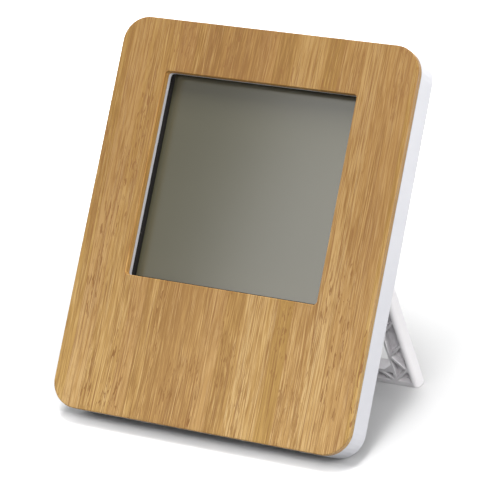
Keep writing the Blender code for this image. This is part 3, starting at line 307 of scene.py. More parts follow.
# Millimetres from node to node along a strip, and in parts of that how crooked a node is and how far its marks
# reach.
NODE_SPACING = 88.0
NODE_BEND = 0.03
KNUCKLE_REACH = 0.050
SWIRL_REACH = 0.14

# Layers of noise: cells per millimetre across and along a strip, a shift that keeps one layer from repeating
# another, detail, roughness and distortion. The fewer cells along, the longer the fibres.
GRAIN_LAYERS = {
    "broad": (0.42, 0.012, (0.0, 0.0, 0.0), 3.0, 0.55, 0.0),
    "coarse": (0.85, 0.026, (7.0, 0.0, 3.0), 2.0, 0.6, 0.0),
    "middle": (1.75, 0.055, (5.0, 4.0, 9.0), 2.0, 0.6, 0.0),
    "fine": (3.1, 0.12, (3.0, 5.0, 0.0), 2.0, 0.6, 0.0),
    "lines": (1.7, 0.015, (0.0, 9.0, 1.0), 2.0, 0.5, 0.0),
    "line_patch": (0.25, 0.018, (2.0, 0.0, 8.0), 1.0, 0.5, 0.0),
    "veins": (2.9, 0.022, (6.0, 2.0, 5.0), 1.0, 0.5, 0.0),
    "dashes": (1.6, 0.24, (11.0, 2.0, 4.0), 2.0, 0.5, 0.6),
    "dash_patch": (0.14, 0.016, (4.0, 1.0, 6.0), 1.0, 0.5, 0.0),
    "bend": (0.5, 0.1, (0.0, 0.0, 0.0), 1.0, 0.5, 0.0),
    "knuckle": (1.1, 0.30, (1.0, 6.0, 2.0), 3.0, 0.6, 0.0),
    "swirl": (1.9, 0.26, (1.0, 3.0, 2.0), 2.0, 0.6, 0.8),
}

# How strongly each layer changes the tone, everywhere alike or in patches, and each mask darkens the wood.
EVEN_TONE = {"broad": 1.00, "coarse": 1.20}
PATCHY_TONE = {"middle": 2.10, "fine": 3.70}
MARK_STRENGTH = {"glue": 0.30, "lines": 0.90, "veins": 0.80, "dashes": 1.00, "node": 0.80}
STRIP_CONTRAST = 0.75
MEAN_TONE = 0.52
# How far a line's noise may be from its middle value, and what stands up or lies deep in the bump.
LINE_WIDTH = 0.040
FINE_HEIGHT = 0.35
COARSE_HEIGHT = 0.65
MARK_DEPTH = 0.8


def strip_cells(tree, place, feature):
    """Outputs of the row of cells that are the strips; place counts them across."""
    values = {"W": place, "Scale": 1.0, "Randomness": STRIP_RANDOMNESS}
    return add_node(tree, "ShaderNodeTexVoronoi", values, voronoi_dimensions="1D", feature=feature).outputs


def grain_layer(tree, point, name):
    """Noise of one layer of the grain."""
    across, along, shift, detail, roughness, distortion = GRAIN_LAYERS[name]
    drawn = stretched(tree, point, (across, across, along), shift)
    return noise(tree, drawn, detail, roughness, distortion=distortion)


def bamboo_nodes(tree, chance, height, layer):
    """Mask of the node marks: knuckles and swirls near levels that differ from strip to strip."""
    step = maths(tree, "ADD", chance["Green"], maths(tree, "DIVIDE", height, NODE_SPACING))
    gap = maths(tree, "ABSOLUTE", maths(tree, "SUBTRACT", maths(tree, "FRACT", step), 0.5))
    gap = maths(tree, "MULTIPLY_ADD", layer["bend"], NODE_BEND, maths(tree, "SUBTRACT", gap, NODE_BEND / 2))
    near = ramp(tree, gap, 0.0, KNUCKLE_REACH, 1.0, 0.0)
    wide = ramp(tree, gap, 0.0, SWIRL_REACH, 1.0, 0.0)
    knuckle = maths(tree, "MULTIPLY", ramp(tree, layer["knuckle"], 0.40, 0.66, 0.0, 0.6), near)
    swirl = maths(tree, "MULTIPLY", ramp(tree, layer["swirl"], 0.53, 0.66), wide)
    shown = ramp(tree, chance["Blue"], 0.45, 0.62)
    return maths(tree, "MULTIPLY", maths(tree, "MAXIMUM", knuckle, swirl), shown)


def make_bamboo_grain():
    """Glued strips of bamboo: a tone for each strip, long fibres, short dark dashes and node marks.

    Lines lie where their noise crosses its middle value; the other masks lie where a noise is high.
    """
    tree, given, output = new_group(
        "bamboo_grain",
        [("Point", "Vector", (0.0, 0.0, 0.0)), ("Strip", "Float", 5.6)],
        [("Tone", "Float"), ("Warmth", "Float"), ("Marks", "Float"), ("Height", "Float")])
    point = given["Point"]
    parts = add_node(tree, "ShaderNodeSeparateXYZ", {0: point}).outputs
    drift = noise(tree, stretched(tree, point, DRIFT_SCALE), detail=1.0)
    across = maths(tree, "MULTIPLY_ADD", drift, DRIFT_REACH, parts["X"])
    across = maths(tree, "MULTIPLY_ADD", parts["Y"], STRIP_SLANT, across)
    place = maths(tree, "DIVIDE", across, given["Strip"])
    chance = add_node(tree, "ShaderNodeSeparateColor", {0: strip_cells(tree, place, "F1")["Color"]}).outputs
    seam = strip_cells(tree, place, "DISTANCE_TO_EDGE")["Distance"]
    along = maths(tree, "MULTIPLY_ADD", chance["Red"], STRIP_JUMP, parts["Z"])
    fibre_point = add_node(tree, "ShaderNodeCombineXYZ", {"X": across, "Y": parts["Y"], "Z": along}).outputs[0]
    layer = {name: grain_layer(tree, fibre_point, name) for name in GRAIN_LAYERS}

    lines = maths(tree, "ABSOLUTE", maths(tree, "SUBTRACT", layer["lines"], 0.5))
    lines = ramp(tree, lines, 0.0, LINE_WIDTH, 1.0, 0.0)
    masks = {
        "glue": ramp(tree, seam, 0.0, GLUE_SHARE, 1.0, 0.0),
        "lines": maths(tree, "MULTIPLY", lines, ramp(tree, layer["line_patch"], 0.38, 0.58)),
        "veins": maths(tree, "MULTIPLY", ramp(tree, layer["veins"], 0.57, 0.66),
                       ramp(tree, layer["line_patch"], 0.62, 0.42)),
        "dashes": maths(tree, "MULTIPLY", ramp(tree, layer["dashes"], 0.56, 0.63),
                        ramp(tree, layer["dash_patch"], 0.44, 0.64)),
        "node": bamboo_nodes(tree, chance, parts["Z"], layer),
    }
    marks = 0.0
    for name, mask in masks.items():
        marks = maths(tree, "MAXIMUM", marks, maths(tree, "MULTIPLY", mask, MARK_STRENGTH[name]))

    patch = ramp(tree, layer["line_patch"], 0.38, 0.62, 0.60, 1.20)
    strengths = dict(EVEN_TONE)
    for name, strength in PATCHY_TONE.items():
        strengths[name] = maths(tree, "MULTIPLY", patch, strength)
    tone = maths(tree, "SUBTRACT", chance["Red"], 0.5)
    tone = maths(tree, "MULTIPLY_ADD", tone, STRIP_CONTRAST, MEAN_TONE)
    for name, strength in strengths.items():
        tone = maths(tree, "MULTIPLY_ADD", maths(tree, "SUBTRACT", layer[name], 0.5), strength, tone)

    height = maths(tree, "MULTIPLY", layer["coarse"], COARSE_HEIGHT)
    height = maths(tree, "MULTIPLY_ADD", layer["fine"], FINE_HEIGHT, height)
    height = maths(tree, "MULTIPLY_ADD", marks, -MARK_DEPTH, height)
    results = {"Tone": tone, "Warmth": chance["Green"], "Marks": marks, "Height": height}
    return close_group(tree, output, results)


DUST = (0.45, 0.42, 0.38)


def make_moulded_skin():
    """Skin of a moulded part: fine spark texture, faint flow marks, handling shine and a little dust."""
    tree, given, output = new_group(
        "moulded_skin",
        [("Point", "Vector", (0.0, 0.0, 0.0)), ("Colour", "Color", (0.8, 0.8, 0.8, 1.0)),
         ("Grain", "Float", 3.0), ("Roughness", "Float", 0.4), ("Variation", "Float", 0.03)],
        [("Colour", "Color"), ("Roughness", "Float"), ("Height", "Float")])
    point = given["Point"]
    spark = noise(tree, point, detail=3.0, roughness=0.6, scale=given["Grain"])
    flow = noise(tree, stretched(tree, point, (0.05, 0.05, 0.03)), detail=3.0, roughness=0.55)
    rub = noise(tree, point, detail=4.0, roughness=0.6, scale=0.12)
    specks = ramp(tree, noise(tree, point, detail=0.0, scale=1.6), 0.80, 0.86)
    shift = maths(tree, "MULTIPLY", maths(tree, "SUBTRACT", flow, 0.5), given["Variation"])
    shift = maths(tree, "MULTIPLY_ADD", shift, 2.0, 1.0)
    values = {0: given["Colour"], "Scale": shift}
    shade = add_node(tree, "ShaderNodeVectorMath", values, operation="SCALE").outputs[0]
    shade = blend_colour(tree, maths(tree, "MULTIPLY", specks, 0.10), shade, DUST)
    rough = maths(tree, "MULTIPLY_ADD", maths(tree, "SUBTRACT", rub, 0.5), 0.22, given["Roughness"])
    rough = maths(tree, "MULTIPLY_ADD", maths(tree, "SUBTRACT", spark, 0.5), 0.10, rough)
    height = maths(tree, "MULTIPLY_ADD", flow, 0.6, spark)
    return close_group(tree, output, {"Colour": shade, "Roughness": rough, "Height": height})


def make_plated_skin():
    """Plated or turned metal: clouds of tarnish and fine parallel scratches."""
    tree, given, output = new_group(
        "plated_skin",
        [("Point", "Vector", (0.0, 0.0, 0.0)), ("Colour", "Color", (0.7, 0.7, 0.68, 1.0)),
         ("Tarnish", "Color", (0.35, 0.30, 0.24, 1.0)), ("Roughness", "Float", 0.28)],
        [("Colour", "Color"), ("Roughness", "Float"), ("Height", "Float")])
    point = given["Point"]
    clouds = noise(tree, point, detail=4.0, roughness=0.6, scale=0.45)
    scratch = noise(tree, stretched(tree, point, (6.0, 0.5, 0.5)), detail=2.0, roughness=0.6)
    dirt = ramp(tree, clouds, 0.50, 0.78)
    shade = blend_colour(tree, maths(tree, "MULTIPLY", dirt, 0.55), given["Colour"], given["Tarnish"])
    rough = maths(tree, "MULTIPLY_ADD", dirt, 0.22, given["Roughness"])
    rough = maths(tree, "MULTIPLY_ADD", maths(tree, "SUBTRACT", scratch, 0.5), 0.18, rough)
    return close_group(tree, output, {"Colour": shade, "Roughness": rough, "Height": scratch})


EFFECT_MAKERS = {
    "bamboo_grain": make_bamboo_grain,
    "moulded_skin": make_moulded_skin,
    "plated_skin": make_plated_skin,
}
EFFECTS = {}


def effect(name):
    """Each shared effect is made once, when it is first asked for."""
    if name not in EFFECTS:
        EFFECTS[name] = EFFECT_MAKERS[name]()
    return EFFECTS[name]


# ---------------------------------------------------------------- finishes

# Colours that warm and cool strips lean to. The factors on the colour at the board's foot and near its head are
# painted light and shade: the board is paler at its foot and darker near its head. The factor on the cut wall of
# its window is painted light that brightens the wall. The change from foot to head ends at HEAD_HEIGHT
# millimetres.
WARM_TINT = (0.470, 0.290, 0.075)
COOL_TINT = (0.430, 0.240, 0.090)
FOOT_PAINTED_LIGHT = (1.12, 1.15, 1.11)
HEAD_PAINTED_SHADE = (0.78, 0.73, 0.575)
WALL_PAINTED_LIGHT = (1.45, 1.42, 1.35)
HEAD_HEIGHT = 85.0
WALL_ATTRIBUTE = "window_wall"


def bamboo_finish(settings):
    """Oiled bamboo: the tone picks the strip's colour, the marks darken it, and the fibres show as a bump.

    Painted light and shade make the board paler at its foot, darker near its head and brighter on its window's
    wall.
    """
    material, tree, shader = new_material("oiled_bamboo", IOR=1.45, Specular_IOR_Level=0.35)
    point = case_point(tree)
    grain = use_group(tree, effect("bamboo_grain"), Point=point, Strip=settings.strip * MILLIMETRES)
    body = blend_colour(tree, ramp(tree, grain["Tone"], -0.05, 0.60), settings.brown, settings.honey)
    body = blend_colour(tree, ramp(tree, grain["Tone"], 0.50, 1.10), body, settings.pale)
    body = blend_colour(tree, ramp(tree, grain["Warmth"], 0.50, 0.90, 0.0, 0.45), body, WARM_TINT)
    body = blend_colour(tree, ramp(tree, grain["Warmth"], 0.10, 0.45, 0.42, 0.0), body, COOL_TINT)
    height = add_node(tree, "ShaderNodeSeparateXYZ", {0: point}).outputs["Z"]
    # Painted light and shade: the board is paler at its foot and darker towards its head.
    factor = blend_colour(tree, ramp(tree, height, 0.0, HEAD_HEIGHT), FOOT_PAINTED_LIGHT, HEAD_PAINTED_SHADE)
    body = blend_colour(tree, 1.0, body, factor, "MULTIPLY")
    body = blend_colour(tree, grain["Marks"], body, settings.fibre)
    # Painted light: the cut wall of the window is made brighter than the wood's own colour.
    wall = add_node(tree, "ShaderNodeAttribute", attribute_name=WALL_ATTRIBUTE).outputs["Fac"]
    body = blend_colour(tree, wall, body, WALL_PAINTED_LIGHT, "MULTIPLY")
    rough = maths(tree, "MULTIPLY_ADD", grain["Tone"], -0.12, 0.56)
    feed(tree, shader, Base_Color=body, Roughness=rough, Normal=bump(tree, grain["Height"], 0.00005))
    return material


def moulded_finish(name, colour, roughness, grain, depth, variation=0.03, edge=0.0, **constants):
    """Moulded plastic or rubber of one colour.

    The grain is in cells per millimetre. Depth and edge are in metres: how deep the grain lies and how far the
    corners look rounded.
    """
    material, tree, shader = new_material(name, **constants)
    skin = use_group(tree, effect("moulded_skin"), Point=world_point(tree), Colour=(*colour, 1.0), Grain=grain,
                     Roughness=roughness, Variation=variation)
    soft = None
    if edge:
        soft = add_node(tree, "ShaderNodeBevel", {"Radius": edge}, samples=4).outputs["Normal"]
    feed(tree, shader, Base_Color=skin["Colour"], Roughness=skin["Roughness"],
         Normal=bump(tree, skin["Height"], depth, soft))
    return material


def metal_finish(name, colour, tarnish, roughness):
    """Plated steel or nickel."""
    material, tree, shader = new_material(name, Metallic=1.0)
    skin = use_group(tree, effect("plated_skin"), Point=world_point(tree), Colour=(*colour, 1.0),
                     Tarnish=(*tarnish, 1.0), Roughness=roughness)
    feed(tree, shader, Base_Color=skin["Colour"], Roughness=skin["Roughness"],
         Normal=bump(tree, skin["Height"], 0.000004))
    return material


def display_finish(settings):
    """Anti-glare film of the blank display: a fine grain in the gloss and a faint cloud in the colour."""
    material, tree, shader = new_material("display_film", IOR=1.5)
    point = case_point(tree)
    cloud = noise(tree, stretched(tree, point, (0.03, 0.03, 0.03)))
    paler = [value * 1.08 for value in settings.face]
    shade = blend_colour(tree, ramp(tree, cloud, 0.3, 0.7, 0.0, 0.5), settings.face, paler)
    grain = noise(tree, point, detail=2.0, roughness=0.6, scale=6.0)
    rough = ramp(tree, grain, 0.2, 0.8, 0.15, 0.18)
    feed(tree, shader, Base_Color=shade, Roughness=rough, Normal=bump(tree, grain, 0.000001))
    return material


def glass_finish():
    """Thin display glass with a green tinge and a faint haze."""
    material, tree, shader = new_material("display_glass", IOR=1.5, Transmission_Weight=0.85)
    point = case_point(tree)
    haze = noise(tree, point, detail=3.0, roughness=0.6, scale=0.4)
    shade = blend_colour(tree, haze, (0.74, 0.80, 0.77), (0.82, 0.87, 0.84))
    feed(tree, shader, Base_Color=shade, Roughness=ramp(tree, haze, 0.3, 0.8, 0.03, 0.10))
    return material


def reflector_finish():
    """Silvery film behind the display, with fine crossed brushing."""
    material, tree, shader = new_material("reflector_film", Metallic=0.6)
    point = case_point(tree)
    first = noise(tree, stretched(tree, point, (8.0, 1.0, 0.2)))
    second = noise(tree, stretched(tree, point, (0.2, 1.0, 8.0)))
    both = maths(tree, "MULTIPLY", maths(tree, "ADD", first, second), 0.5)
    shade = blend_colour(tree, both, (0.46, 0.47, 0.42), (0.64, 0.65, 0.60))
    feed(tree, shader, Base_Color=shade, Roughness=ramp(tree, both, 0.3, 0.7, 0.28, 0.42))
    return material


TIN = (0.62, 0.60, 0.55)


def board_finish():
    """Green solder mask over copper tracks, with scattered tinned pads."""
    material, tree, shader = new_material("circuit_mask", Coat_Weight=0.3, Coat_Roughness=0.15)
    point = case_point(tree)
    parts = add_node(tree, "ShaderNodeSeparateXYZ", {0: point}).outputs
    lanes = add_node(tree, "ShaderNodeTexBrick", {
        "Vector": add_node(tree, "ShaderNodeCombineXYZ", {"X": parts["X"], "Y": parts["Z"]}).outputs[0],
        "Color1": (0.0, 0.0, 0.0, 1.0),
        "Color2": (0.35, 0.35, 0.35, 1.0),
        "Mortar": (1.0, 1.0, 1.0, 1.0),
        "Scale": 1.0,
        "Mortar Size": 0.16,
        "Mortar Smooth": 0.1,
        "Brick Width": 5.2,
        "Row Height": 1.1,
    }).outputs["Color"]
    dots = add_node(tree, "ShaderNodeTexVoronoi", {"Vector": point, "Scale": 0.42, "Randomness": 0.8},
                    feature="F1").outputs["Distance"]
    pads = ramp(tree, dots, 0.10, 0.13, 1.0, 0.0)
    mask = blend_colour(tree, lanes, (0.012, 0.095, 0.035), (0.030, 0.190, 0.070))
    shade = blend_colour(tree, pads, mask, TIN)
    stain = noise(tree, point, detail=3.0, roughness=0.6, scale=1.5)
    rough = maths(tree, "MULTIPLY_ADD", stain, 0.15, 0.30)
    height = maths(tree, "ADD", add_node(tree, "ShaderNodeRGBToBW", {0: lanes}).outputs[0], pads)
    feed(tree, shader, Base_Color=shade, Roughness=rough, Metallic=maths(tree, "MULTIPLY", pads, 0.8),
         Normal=bump(tree, height, 0.00003))
    return material


# Millimetres along a cell from its middle: where its pale ring starts and stops, and where its sleeve ends.
RING_START = 11.8
RING_STOP = 18.9
SLEEVE_END = 20.0


def wrap_finish():
    """Foil of a cell: a dark blue, slightly wrinkled sleeve with a pale ring, between bare metal ends."""
    material, tree, shader = new_material("cell_sleeve", Coat_Weight=0.5, Coat_Roughness=0.12)
    point = case_point(tree)
    along = add_node(tree, "ShaderNodeSeparateXYZ", {0: point}).outputs["X"]
    ends = ramp(tree, maths(tree, "ABSOLUTE", along), SLEEVE_END, SLEEVE_END + 0.4)
    ring = maths(tree, "MULTIPLY", ramp(tree, along, RING_START, RING_START + 0.2),
                 ramp(tree, along, RING_STOP, RING_STOP + 0.2, 1.0, 0.0))
    wrinkle = noise(tree, stretched(tree, point, (0.25, 1.2, 1.2)), detail=3.0, roughness=0.6)
    shade = blend_colour(tree, wrinkle, (0.035, 0.075, 0.19), (0.055, 0.110, 0.25))
    shade = blend_colour(tree, ring, shade, (0.62, 0.60, 0.56))
    shade = blend_colour(tree, ends, shade, (0.60, 0.59, 0.56))
    feed(tree, shader, Base_Color=shade, Roughness=ramp(tree, wrinkle, 0.2, 0.8, 0.28, 0.42),
         Metallic=maths(tree, "MAXIMUM", maths(tree, "MULTIPLY", ends, 0.9), 0.15),
         Normal=bump(tree, wrinkle, 0.00003))
    return material


def tape_finish():
    """Double-sided foam tape: pale, matt and full of small pores."""
    material, tree, shader = new_material("foam_tape", Specular_IOR_Level=0.2)
    point = case_point(tree)
    cells = add_node(tree, "ShaderNodeTexVoronoi", {"Vector": point, "Scale": 3.2}, feature="F1")
    pores = cells.outputs["Distance"]
    shade = blend_colour(tree, ramp(tree, pores, 0.0, 0.5), (0.62, 0.58, 0.48), (0.86, 0.83, 0.74))
    feed(tree, shader, Base_Color=shade, Roughness=ramp(tree, pores, 0.0, 0.8, 0.85, 0.70),
         Normal=bump(tree, pores, 0.00005))
    return material


# ---------------------------------------------------------------- board and gasket

# Lower left and upper right corner of the board's window, x and z on the case's axes.
WINDOW_LOW = np.array((-0.0331, 0.0440))
WINDOW_HIGH = np.array((0.0318, 0.1094))
# The sides of the board end in a narrow ring of faces at its back, which keeps their shading flat.
HEM = 0.0001
# Angles round the section of an edge, and where the front face has rings between its outer and inner edge.
EDGE_TURNS = np.linspace(0.0, np.pi / 2, 6)
FACE_SHARES = (0.04, 0.35, 0.65, 0.96)
# How far the gasket's opening stands inside the window on three sides and above it along the top.
GASKET_OVERHANG = 0.0006
GASKET_TOP_SETBACK = 0.0003
GASKET_CORNER = 0.0004
FOAM_BLACK = (0.012, 0.011, 0.010)


def rounded_outline(low, high, radius, corner_steps, side_steps):
    """Points and outward directions round a rectangle with round corners, counted from its lower left corner.

    A corner's points are its centre plus radius times (cos, sin) of an angle that grows by a quarter turn, and
    the points of a side lie evenly between the ends of two corners.
    """
    centres = np.array([(low[0] + radius, low[1] + radius), (high[0] - radius, low[1] + radius),
                        (high[0] - radius, high[1] - radius), (low[0] + radius, high[1] - radius)])
    angle = np.pi + np.pi / 2 * (np.arange(4)[:, None] + np.linspace(0.0, 1.0, corner_steps + 1)[None, :])
    away = np.stack([np.cos(angle), np.sin(angle)], axis=-1)
    bends = centres[:, None, :] + radius * away
    ends = np.roll(bends[:, 0, :], -1, axis=0)
    share = (np.arange(1, side_steps) / side_steps)[None, :, None]
    sides = bends[:, -1:, :] * (1.0 - share) + ends[:, None, :] * share
    side_away = np.repeat(away[:, -1:, :], side_steps - 1, axis=1)
    points = np.concatenate([bends, sides], axis=1).reshape(-1, 2)
    return points, np.concatenate([away, side_away], axis=1).reshape(-1, 2)


def ring_faces(rings, points):
    """Quads between neighbouring rings and neighbouring points, where both ways close on themselves.

    The corners go along the ring first, which turns the faces outwards.
    """
    ring, point = np.meshgrid(np.arange(rings), np.arange(points), indexing="ij")
    following = (ring + 1) % rings
    beside = (point + 1) % points
    corners = [ring * points + point, ring * points + beside,
               following * points + beside, following * points + point]
    return np.stack(corners, axis=-1).reshape(-1, 4)


def new_piece(name, places, faces, material, body, smooth=True):
    """Makes a mesh object at the origin from places in world metres, and rides it on its body."""
    mesh = bpy.data.meshes.new(name)
    mesh.from_pydata(places.reshape(-1, 3).tolist(), [], faces.tolist())
    mesh.polygons.foreach_set("use_smooth", [smooth] * len(mesh.polygons))
    mesh.materials.append(material)
    mesh.update()
    piece = bpy.data.objects.new(name, mesh)
    bpy.context.scene.collection.objects.link(piece)
    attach(piece, body)
    return piece


def node_box(name):
    """Lowest and highest corner of a CAD node on the case's own axes."""
    mesh = frame["nodes"][name].data
    places = np.empty(len(mesh.vertices) * 3, np.float32)
    mesh.vertices.foreach_get("co", places)
    local = (places.reshape(-1, 3).astype(float) - np.array(CORNER)) @ np.array(TURN)
    return local.min(axis=0), local.max(axis=0)


def to_world(local):
    """Places on the case's axes to world places."""
    return local @ np.array(TURN).T + np.array(CORNER)


def ring_surface(rings, depths):
    """World places and faces of a closed skin through flat rings, each at its depth behind the board's face."""
    flat = np.stack(rings)
    level = np.broadcast_to(np.array(depths)[:, None], flat.shape[:2])
    local = np.stack([flat[..., 0], level, flat[..., 1]], axis=-1)
    return to_world(local), ring_faces(*flat.shape[:2])


def board_surface(settings, window_low, window_high):
    """Closed skin of the board.

    Its section is carried round two outlines of equally many points: the outer one, moved inwards along its
    normals where the front edge rounds off, and the window's, moved outwards the same way. Between them the
    front and the back are straight blends of the two outlines. At the angle t of an edge of radius r the section
    lies r * (1 - sin t) behind the front face and r * (1 - cos t) inside the outer outline, and the other way
    round at the window. The last values are one on the window's wall and nought elsewhere.
    """
    low, high = node_box("bamboo_panel")
    steps = {"corner_steps": 20, "side_steps": 24}
    outer, outer_away = rounded_outline(low[[0, 2]], high[[0, 2]], settings.corner, **steps)
    inner, inner_away = rounded_outline(window_low, window_high, settings.window_corner, **steps)
    hem = settings.thickness - HEM
    rings = [outer, outer]
    depths = [settings.thickness, hem]
    for turn in EDGE_TURNS:
        rings.append(outer - outer_away * (settings.edge * (1 - cos(turn))))
        depths.append(settings.edge * (1 - sin(turn)))
    front_outer = outer - outer_away * settings.edge
    front_inner = inner + inner_away * settings.window_edge
    for share in FACE_SHARES:
        rings.append(front_outer * (1 - share) + front_inner * share)
        depths.append(0.0)
    for turn in EDGE_TURNS:
        rings.append(inner + inner_away * settings.window_edge * (1 - sin(turn)))
        depths.append(settings.window_edge * (1 - cos(turn)))
    rings += [inner, inner]
    depths += [hem, settings.thickness]
    wall = np.zeros((len(rings), len(outer)))
    wall[-len(EDGE_TURNS) - 1:] = 1.0
    return *ring_surface(rings, depths), wall


def gasket_surface(window_low, window_high):
    """Closed skin of the foam gasket.

    A rectangular section, as deep as the CAD solid, is carried round two outlines of equally many points: the
    solid's own outer outline, and an opening that stands inside the window by the overhang on three sides and
    just behind its edge along the top.
    """
    low, high = node_box("display_gasket")
    steps = {"corner_steps": 6, "side_steps": 12}
    outer, _ = rounded_outline(low[[0, 2]], high[[0, 2]], GASKET_CORNER, **steps)
    opening_high = window_high + (-GASKET_OVERHANG, GASKET_TOP_SETBACK)
    inner, _ = rounded_outline(window_low + GASKET_OVERHANG, opening_high, GASKET_CORNER, **steps)
    return ring_surface([outer, inner, inner, outer], [low[1], low[1], high[1], high[1]])


class STATION_OT_bamboo_board(bpy.types.Operator):
    """Makes the bamboo board with its window."""

    bl_idname = "station.bamboo_board"
    bl_label = "Bamboo board"

    def execute(self, context):
        settings = context.scene.station_board
        places, faces, wall = board_surface(settings, WINDOW_LOW, WINDOW_HIGH)
        piece = new_piece("bamboo_board", places, faces, bamboo_finish(settings), "case")
        # Mask of the window's wall, on which the bamboo finish paints light.
        share = piece.data.attributes.new(WALL_ATTRIBUTE, "FLOAT", "POINT")
        share.data.foreach_set("value", wall.ravel())
        piece.modifiers.new("flat faces", "WEIGHTED_NORMAL").keep_sharp = True
        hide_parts("bamboo_panel")
        return {"FINISHED"}


class STATION_OT_gasket(bpy.types.Operator):
    """Makes the black foam gasket round the display."""

    bl_idname = "station.gasket"
    bl_label = "Foam gasket"

    def execute(self, context):
        foam = moulded_finish("gasket_foam", FOAM_BLACK, roughness=0.90, grain=3.5, depth=0.00006,
                              variation=0.3, Specular_IOR_Level=0.15)
        places, faces = gasket_surface(WINDOW_LOW, WINDOW_HIGH)
        piece = new_piece("foam_gasket", places, faces, foam, "case", smooth=False)
        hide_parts("display_gasket")
        return {"FINISHED"}


# ---------------------------------------------------------------- operators for the CAD pieces

# The buttons are a little darker than the case.
BUTTON_SHADE = 0.97
RUBBER_BLACK = (0.030, 0.030, 0.032)
EPOXY_BLACK = (0.014, 0.014, 0.015)
MOULDED_BLACK = (0.020, 0.020, 0.021)
SENSOR_WHITE = (0.76, 0.76, 0.74)
WIRE_RED = (0.52, 0.024, 0.016)
WIRE_BLACK = (0.018, 0.018, 0.019)
# Colour of each metal and of its tarnish.
CRYSTAL_CAN = ((0.72, 0.72, 0.70), (0.42, 0.40, 0.36))
NICKEL = ((0.72, 0.70, 0.65), (0.45, 0.38, 0.28))
ZINC = ((0.66, 0.66, 0.67), (0.38, 0.36, 0.33))


class STATION_OT_mouldings(bpy.types.Operator):
    """Finishes the case, the front plate, the battery door and the buttons in white plastic."""

    bl_idname = "station.mouldings"
    bl_label = "White mouldings"

    def execute(self, context):
        white = context.scene.station_plastic.white
        case = moulded_finish("case_plastic", white, roughness=0.42, grain=3.0, depth=0.000006, edge=0.0002,
                              Specular_IOR_Level=0.4)
        dress(case, "rear_case", "front_frame")
        door = moulded_finish("door_plastic", white, roughness=0.46, grain=2.4, depth=0.000010, edge=0.0002,
                              Specular_IOR_Level=0.4)
        dress(door, "battery_door")
        darker = [BUTTON_SHADE * value for value in white]
        cap = moulded_finish("button_plastic", darker, roughness=0.32, grain=5.0, depth=0.000003, edge=0.0002)
        dress(cap, "button_mode", "button_set", "button_up", "button_down", "button_unit")
        return {"FINISHED"}


class STATION_OT_stand(bpy.types.Operator):
    """Finishes the ribbed stand."""

    bl_idname = "station.stand"
    bl_label = "Stand"

    def execute(self, context):
        # Painted light: the stand takes a paler white than the case's to lighten its shaded pockets.
        colour = context.scene.station_plastic.stand_white_painted_light
        finish = moulded_finish("stand_plastic", colour, roughness=0.36, grain=2.6, depth=0.000006,
                                variation=0.05, edge=0.00025)
        dress(finish, "stand")
        return {"FINISHED"}


class STATION_OT_display(bpy.types.Operator):
    """Finishes the display, its glasses, reflector and connector."""

    bl_idname = "station.display"
    bl_label = "Display"

    def execute(self, context):
        dress(display_finish(context.scene.station_display), "lcd_front_polariser")
        dress(glass_finish(), "lcd_front_glass", "lcd_rear_glass")
        dress(reflector_finish(), "lcd_reflector")
        rubber = moulded_finish("connector_rubber", RUBBER_BLACK, roughness=0.80, grain=2.0, depth=0.00002,
                                variation=0.2)
        dress(rubber, "zebra_strip")
        return {"FINISHED"}


class STATION_OT_electronics(bpy.types.Operator):
    """Finishes the circuit board and what is soldered on it."""

    bl_idname = "station.electronics"
    bl_label = "Electronics"

    def execute(self, context):
        dress(board_finish(), "circuit_board")
        epoxy = moulded_finish("epoxy", EPOXY_BLACK, roughness=0.22, grain=0.8, depth=0.00003, variation=0.3)
        dress(epoxy, "chip_blob")
        black = moulded_finish("black_moulding", MOULDED_BLACK, roughness=0.42, grain=3.0, depth=0.00001,
                               variation=0.2)
        dress(black, "buzzer", "capacitor", "temperature_sensor", "switch_mode", "switch_set", "switch_up",
              "switch_down", "switch_unit")
        sensor = moulded_finish("sensor_white", SENSOR_WHITE, roughness=0.5, grain=2.0, depth=0.00002)
        dress(sensor, "humidity_sensor")
        dress(metal_finish("crystal_can", *CRYSTAL_CAN, roughness=0.22), "crystal")
        return {"FINISHED"}


class STATION_OT_power(bpy.types.Operator):
    """Finishes the cells, their contacts and the wires."""

    bl_idname = "station.power"
    bl_label = "Cells and contacts"

    def execute(self, context):
        dress(wrap_finish(), "cell_upper", "cell_lower")
        nickel = metal_finish("nickel_plate", *NICKEL, roughness=0.26)
        dress(nickel, "contact_plate_positive", "contact_plate_negative", "contact_bridge",
              "contact_spring_negative", "contact_spring_bridge")
        sleeve = {"roughness": 0.42, "grain": 1.2, "depth": 0.00001, "variation": 0.15}
        dress(moulded_finish("red_sleeve", WIRE_RED, **sleeve), "battery_wire_positive")
        dress(moulded_finish("black_sleeve", WIRE_BLACK, **sleeve), "battery_wire_negative")
        return {"FINISHED"}


class STATION_OT_fasteners(bpy.types.Operator):
    """Finishes the screws and the tapes."""

    bl_idname = "station.fasteners"
    bl_label = "Screws and tapes"

    def execute(self, context):
        steel = metal_finish("zinc_plate", *ZINC, roughness=0.30)
        dress(steel, *[name for name in frame["nodes"] if "_screw_" in name])
        dress(tape_finish(), "panel_tape_upper", "panel_tape_lower")
        return {"FINISHED"}


# ---------------------------------------------------------------- stage

# The floor is a square of cells, just under the object's feet.
FLOOR_HALF = 4.0
FLOOR_CELLS = 8
FLOOR_LEVEL = -0.0001
# Colours of the floor: as seen near the object, as seen further off, where it comes out pure white, and as it
# lights the object. The darker colour near the object is painted shade that deepens the object's shadow there;
# the paler colour further off keeps the floor evenly white.
FLOOR_NEAR_PAINTED_SHADE = (0.78, 0.78, 0.78)
FLOOR_BEYOND = (1.80, 1.80, 1.80)
FLOOR_BOUNCE = (0.08, 0.08, 0.08)
BLACK = (0.0, 0.0, 0.0)
WHITE = (1.0, 1.0, 1.0)
# Metres from the object over which the floor changes to the colour of further off, and over which it comes to
# shine by itself. Where Y is below the object's front edge it has the colour of further off too: painted light
# that pales the shadow in front of the object's front edge.
PALE_REACH = (0.07, 0.35)
GLOW_REACH = (0.30, 1.10)
FRONT_EDGE = (-0.037, -0.027)

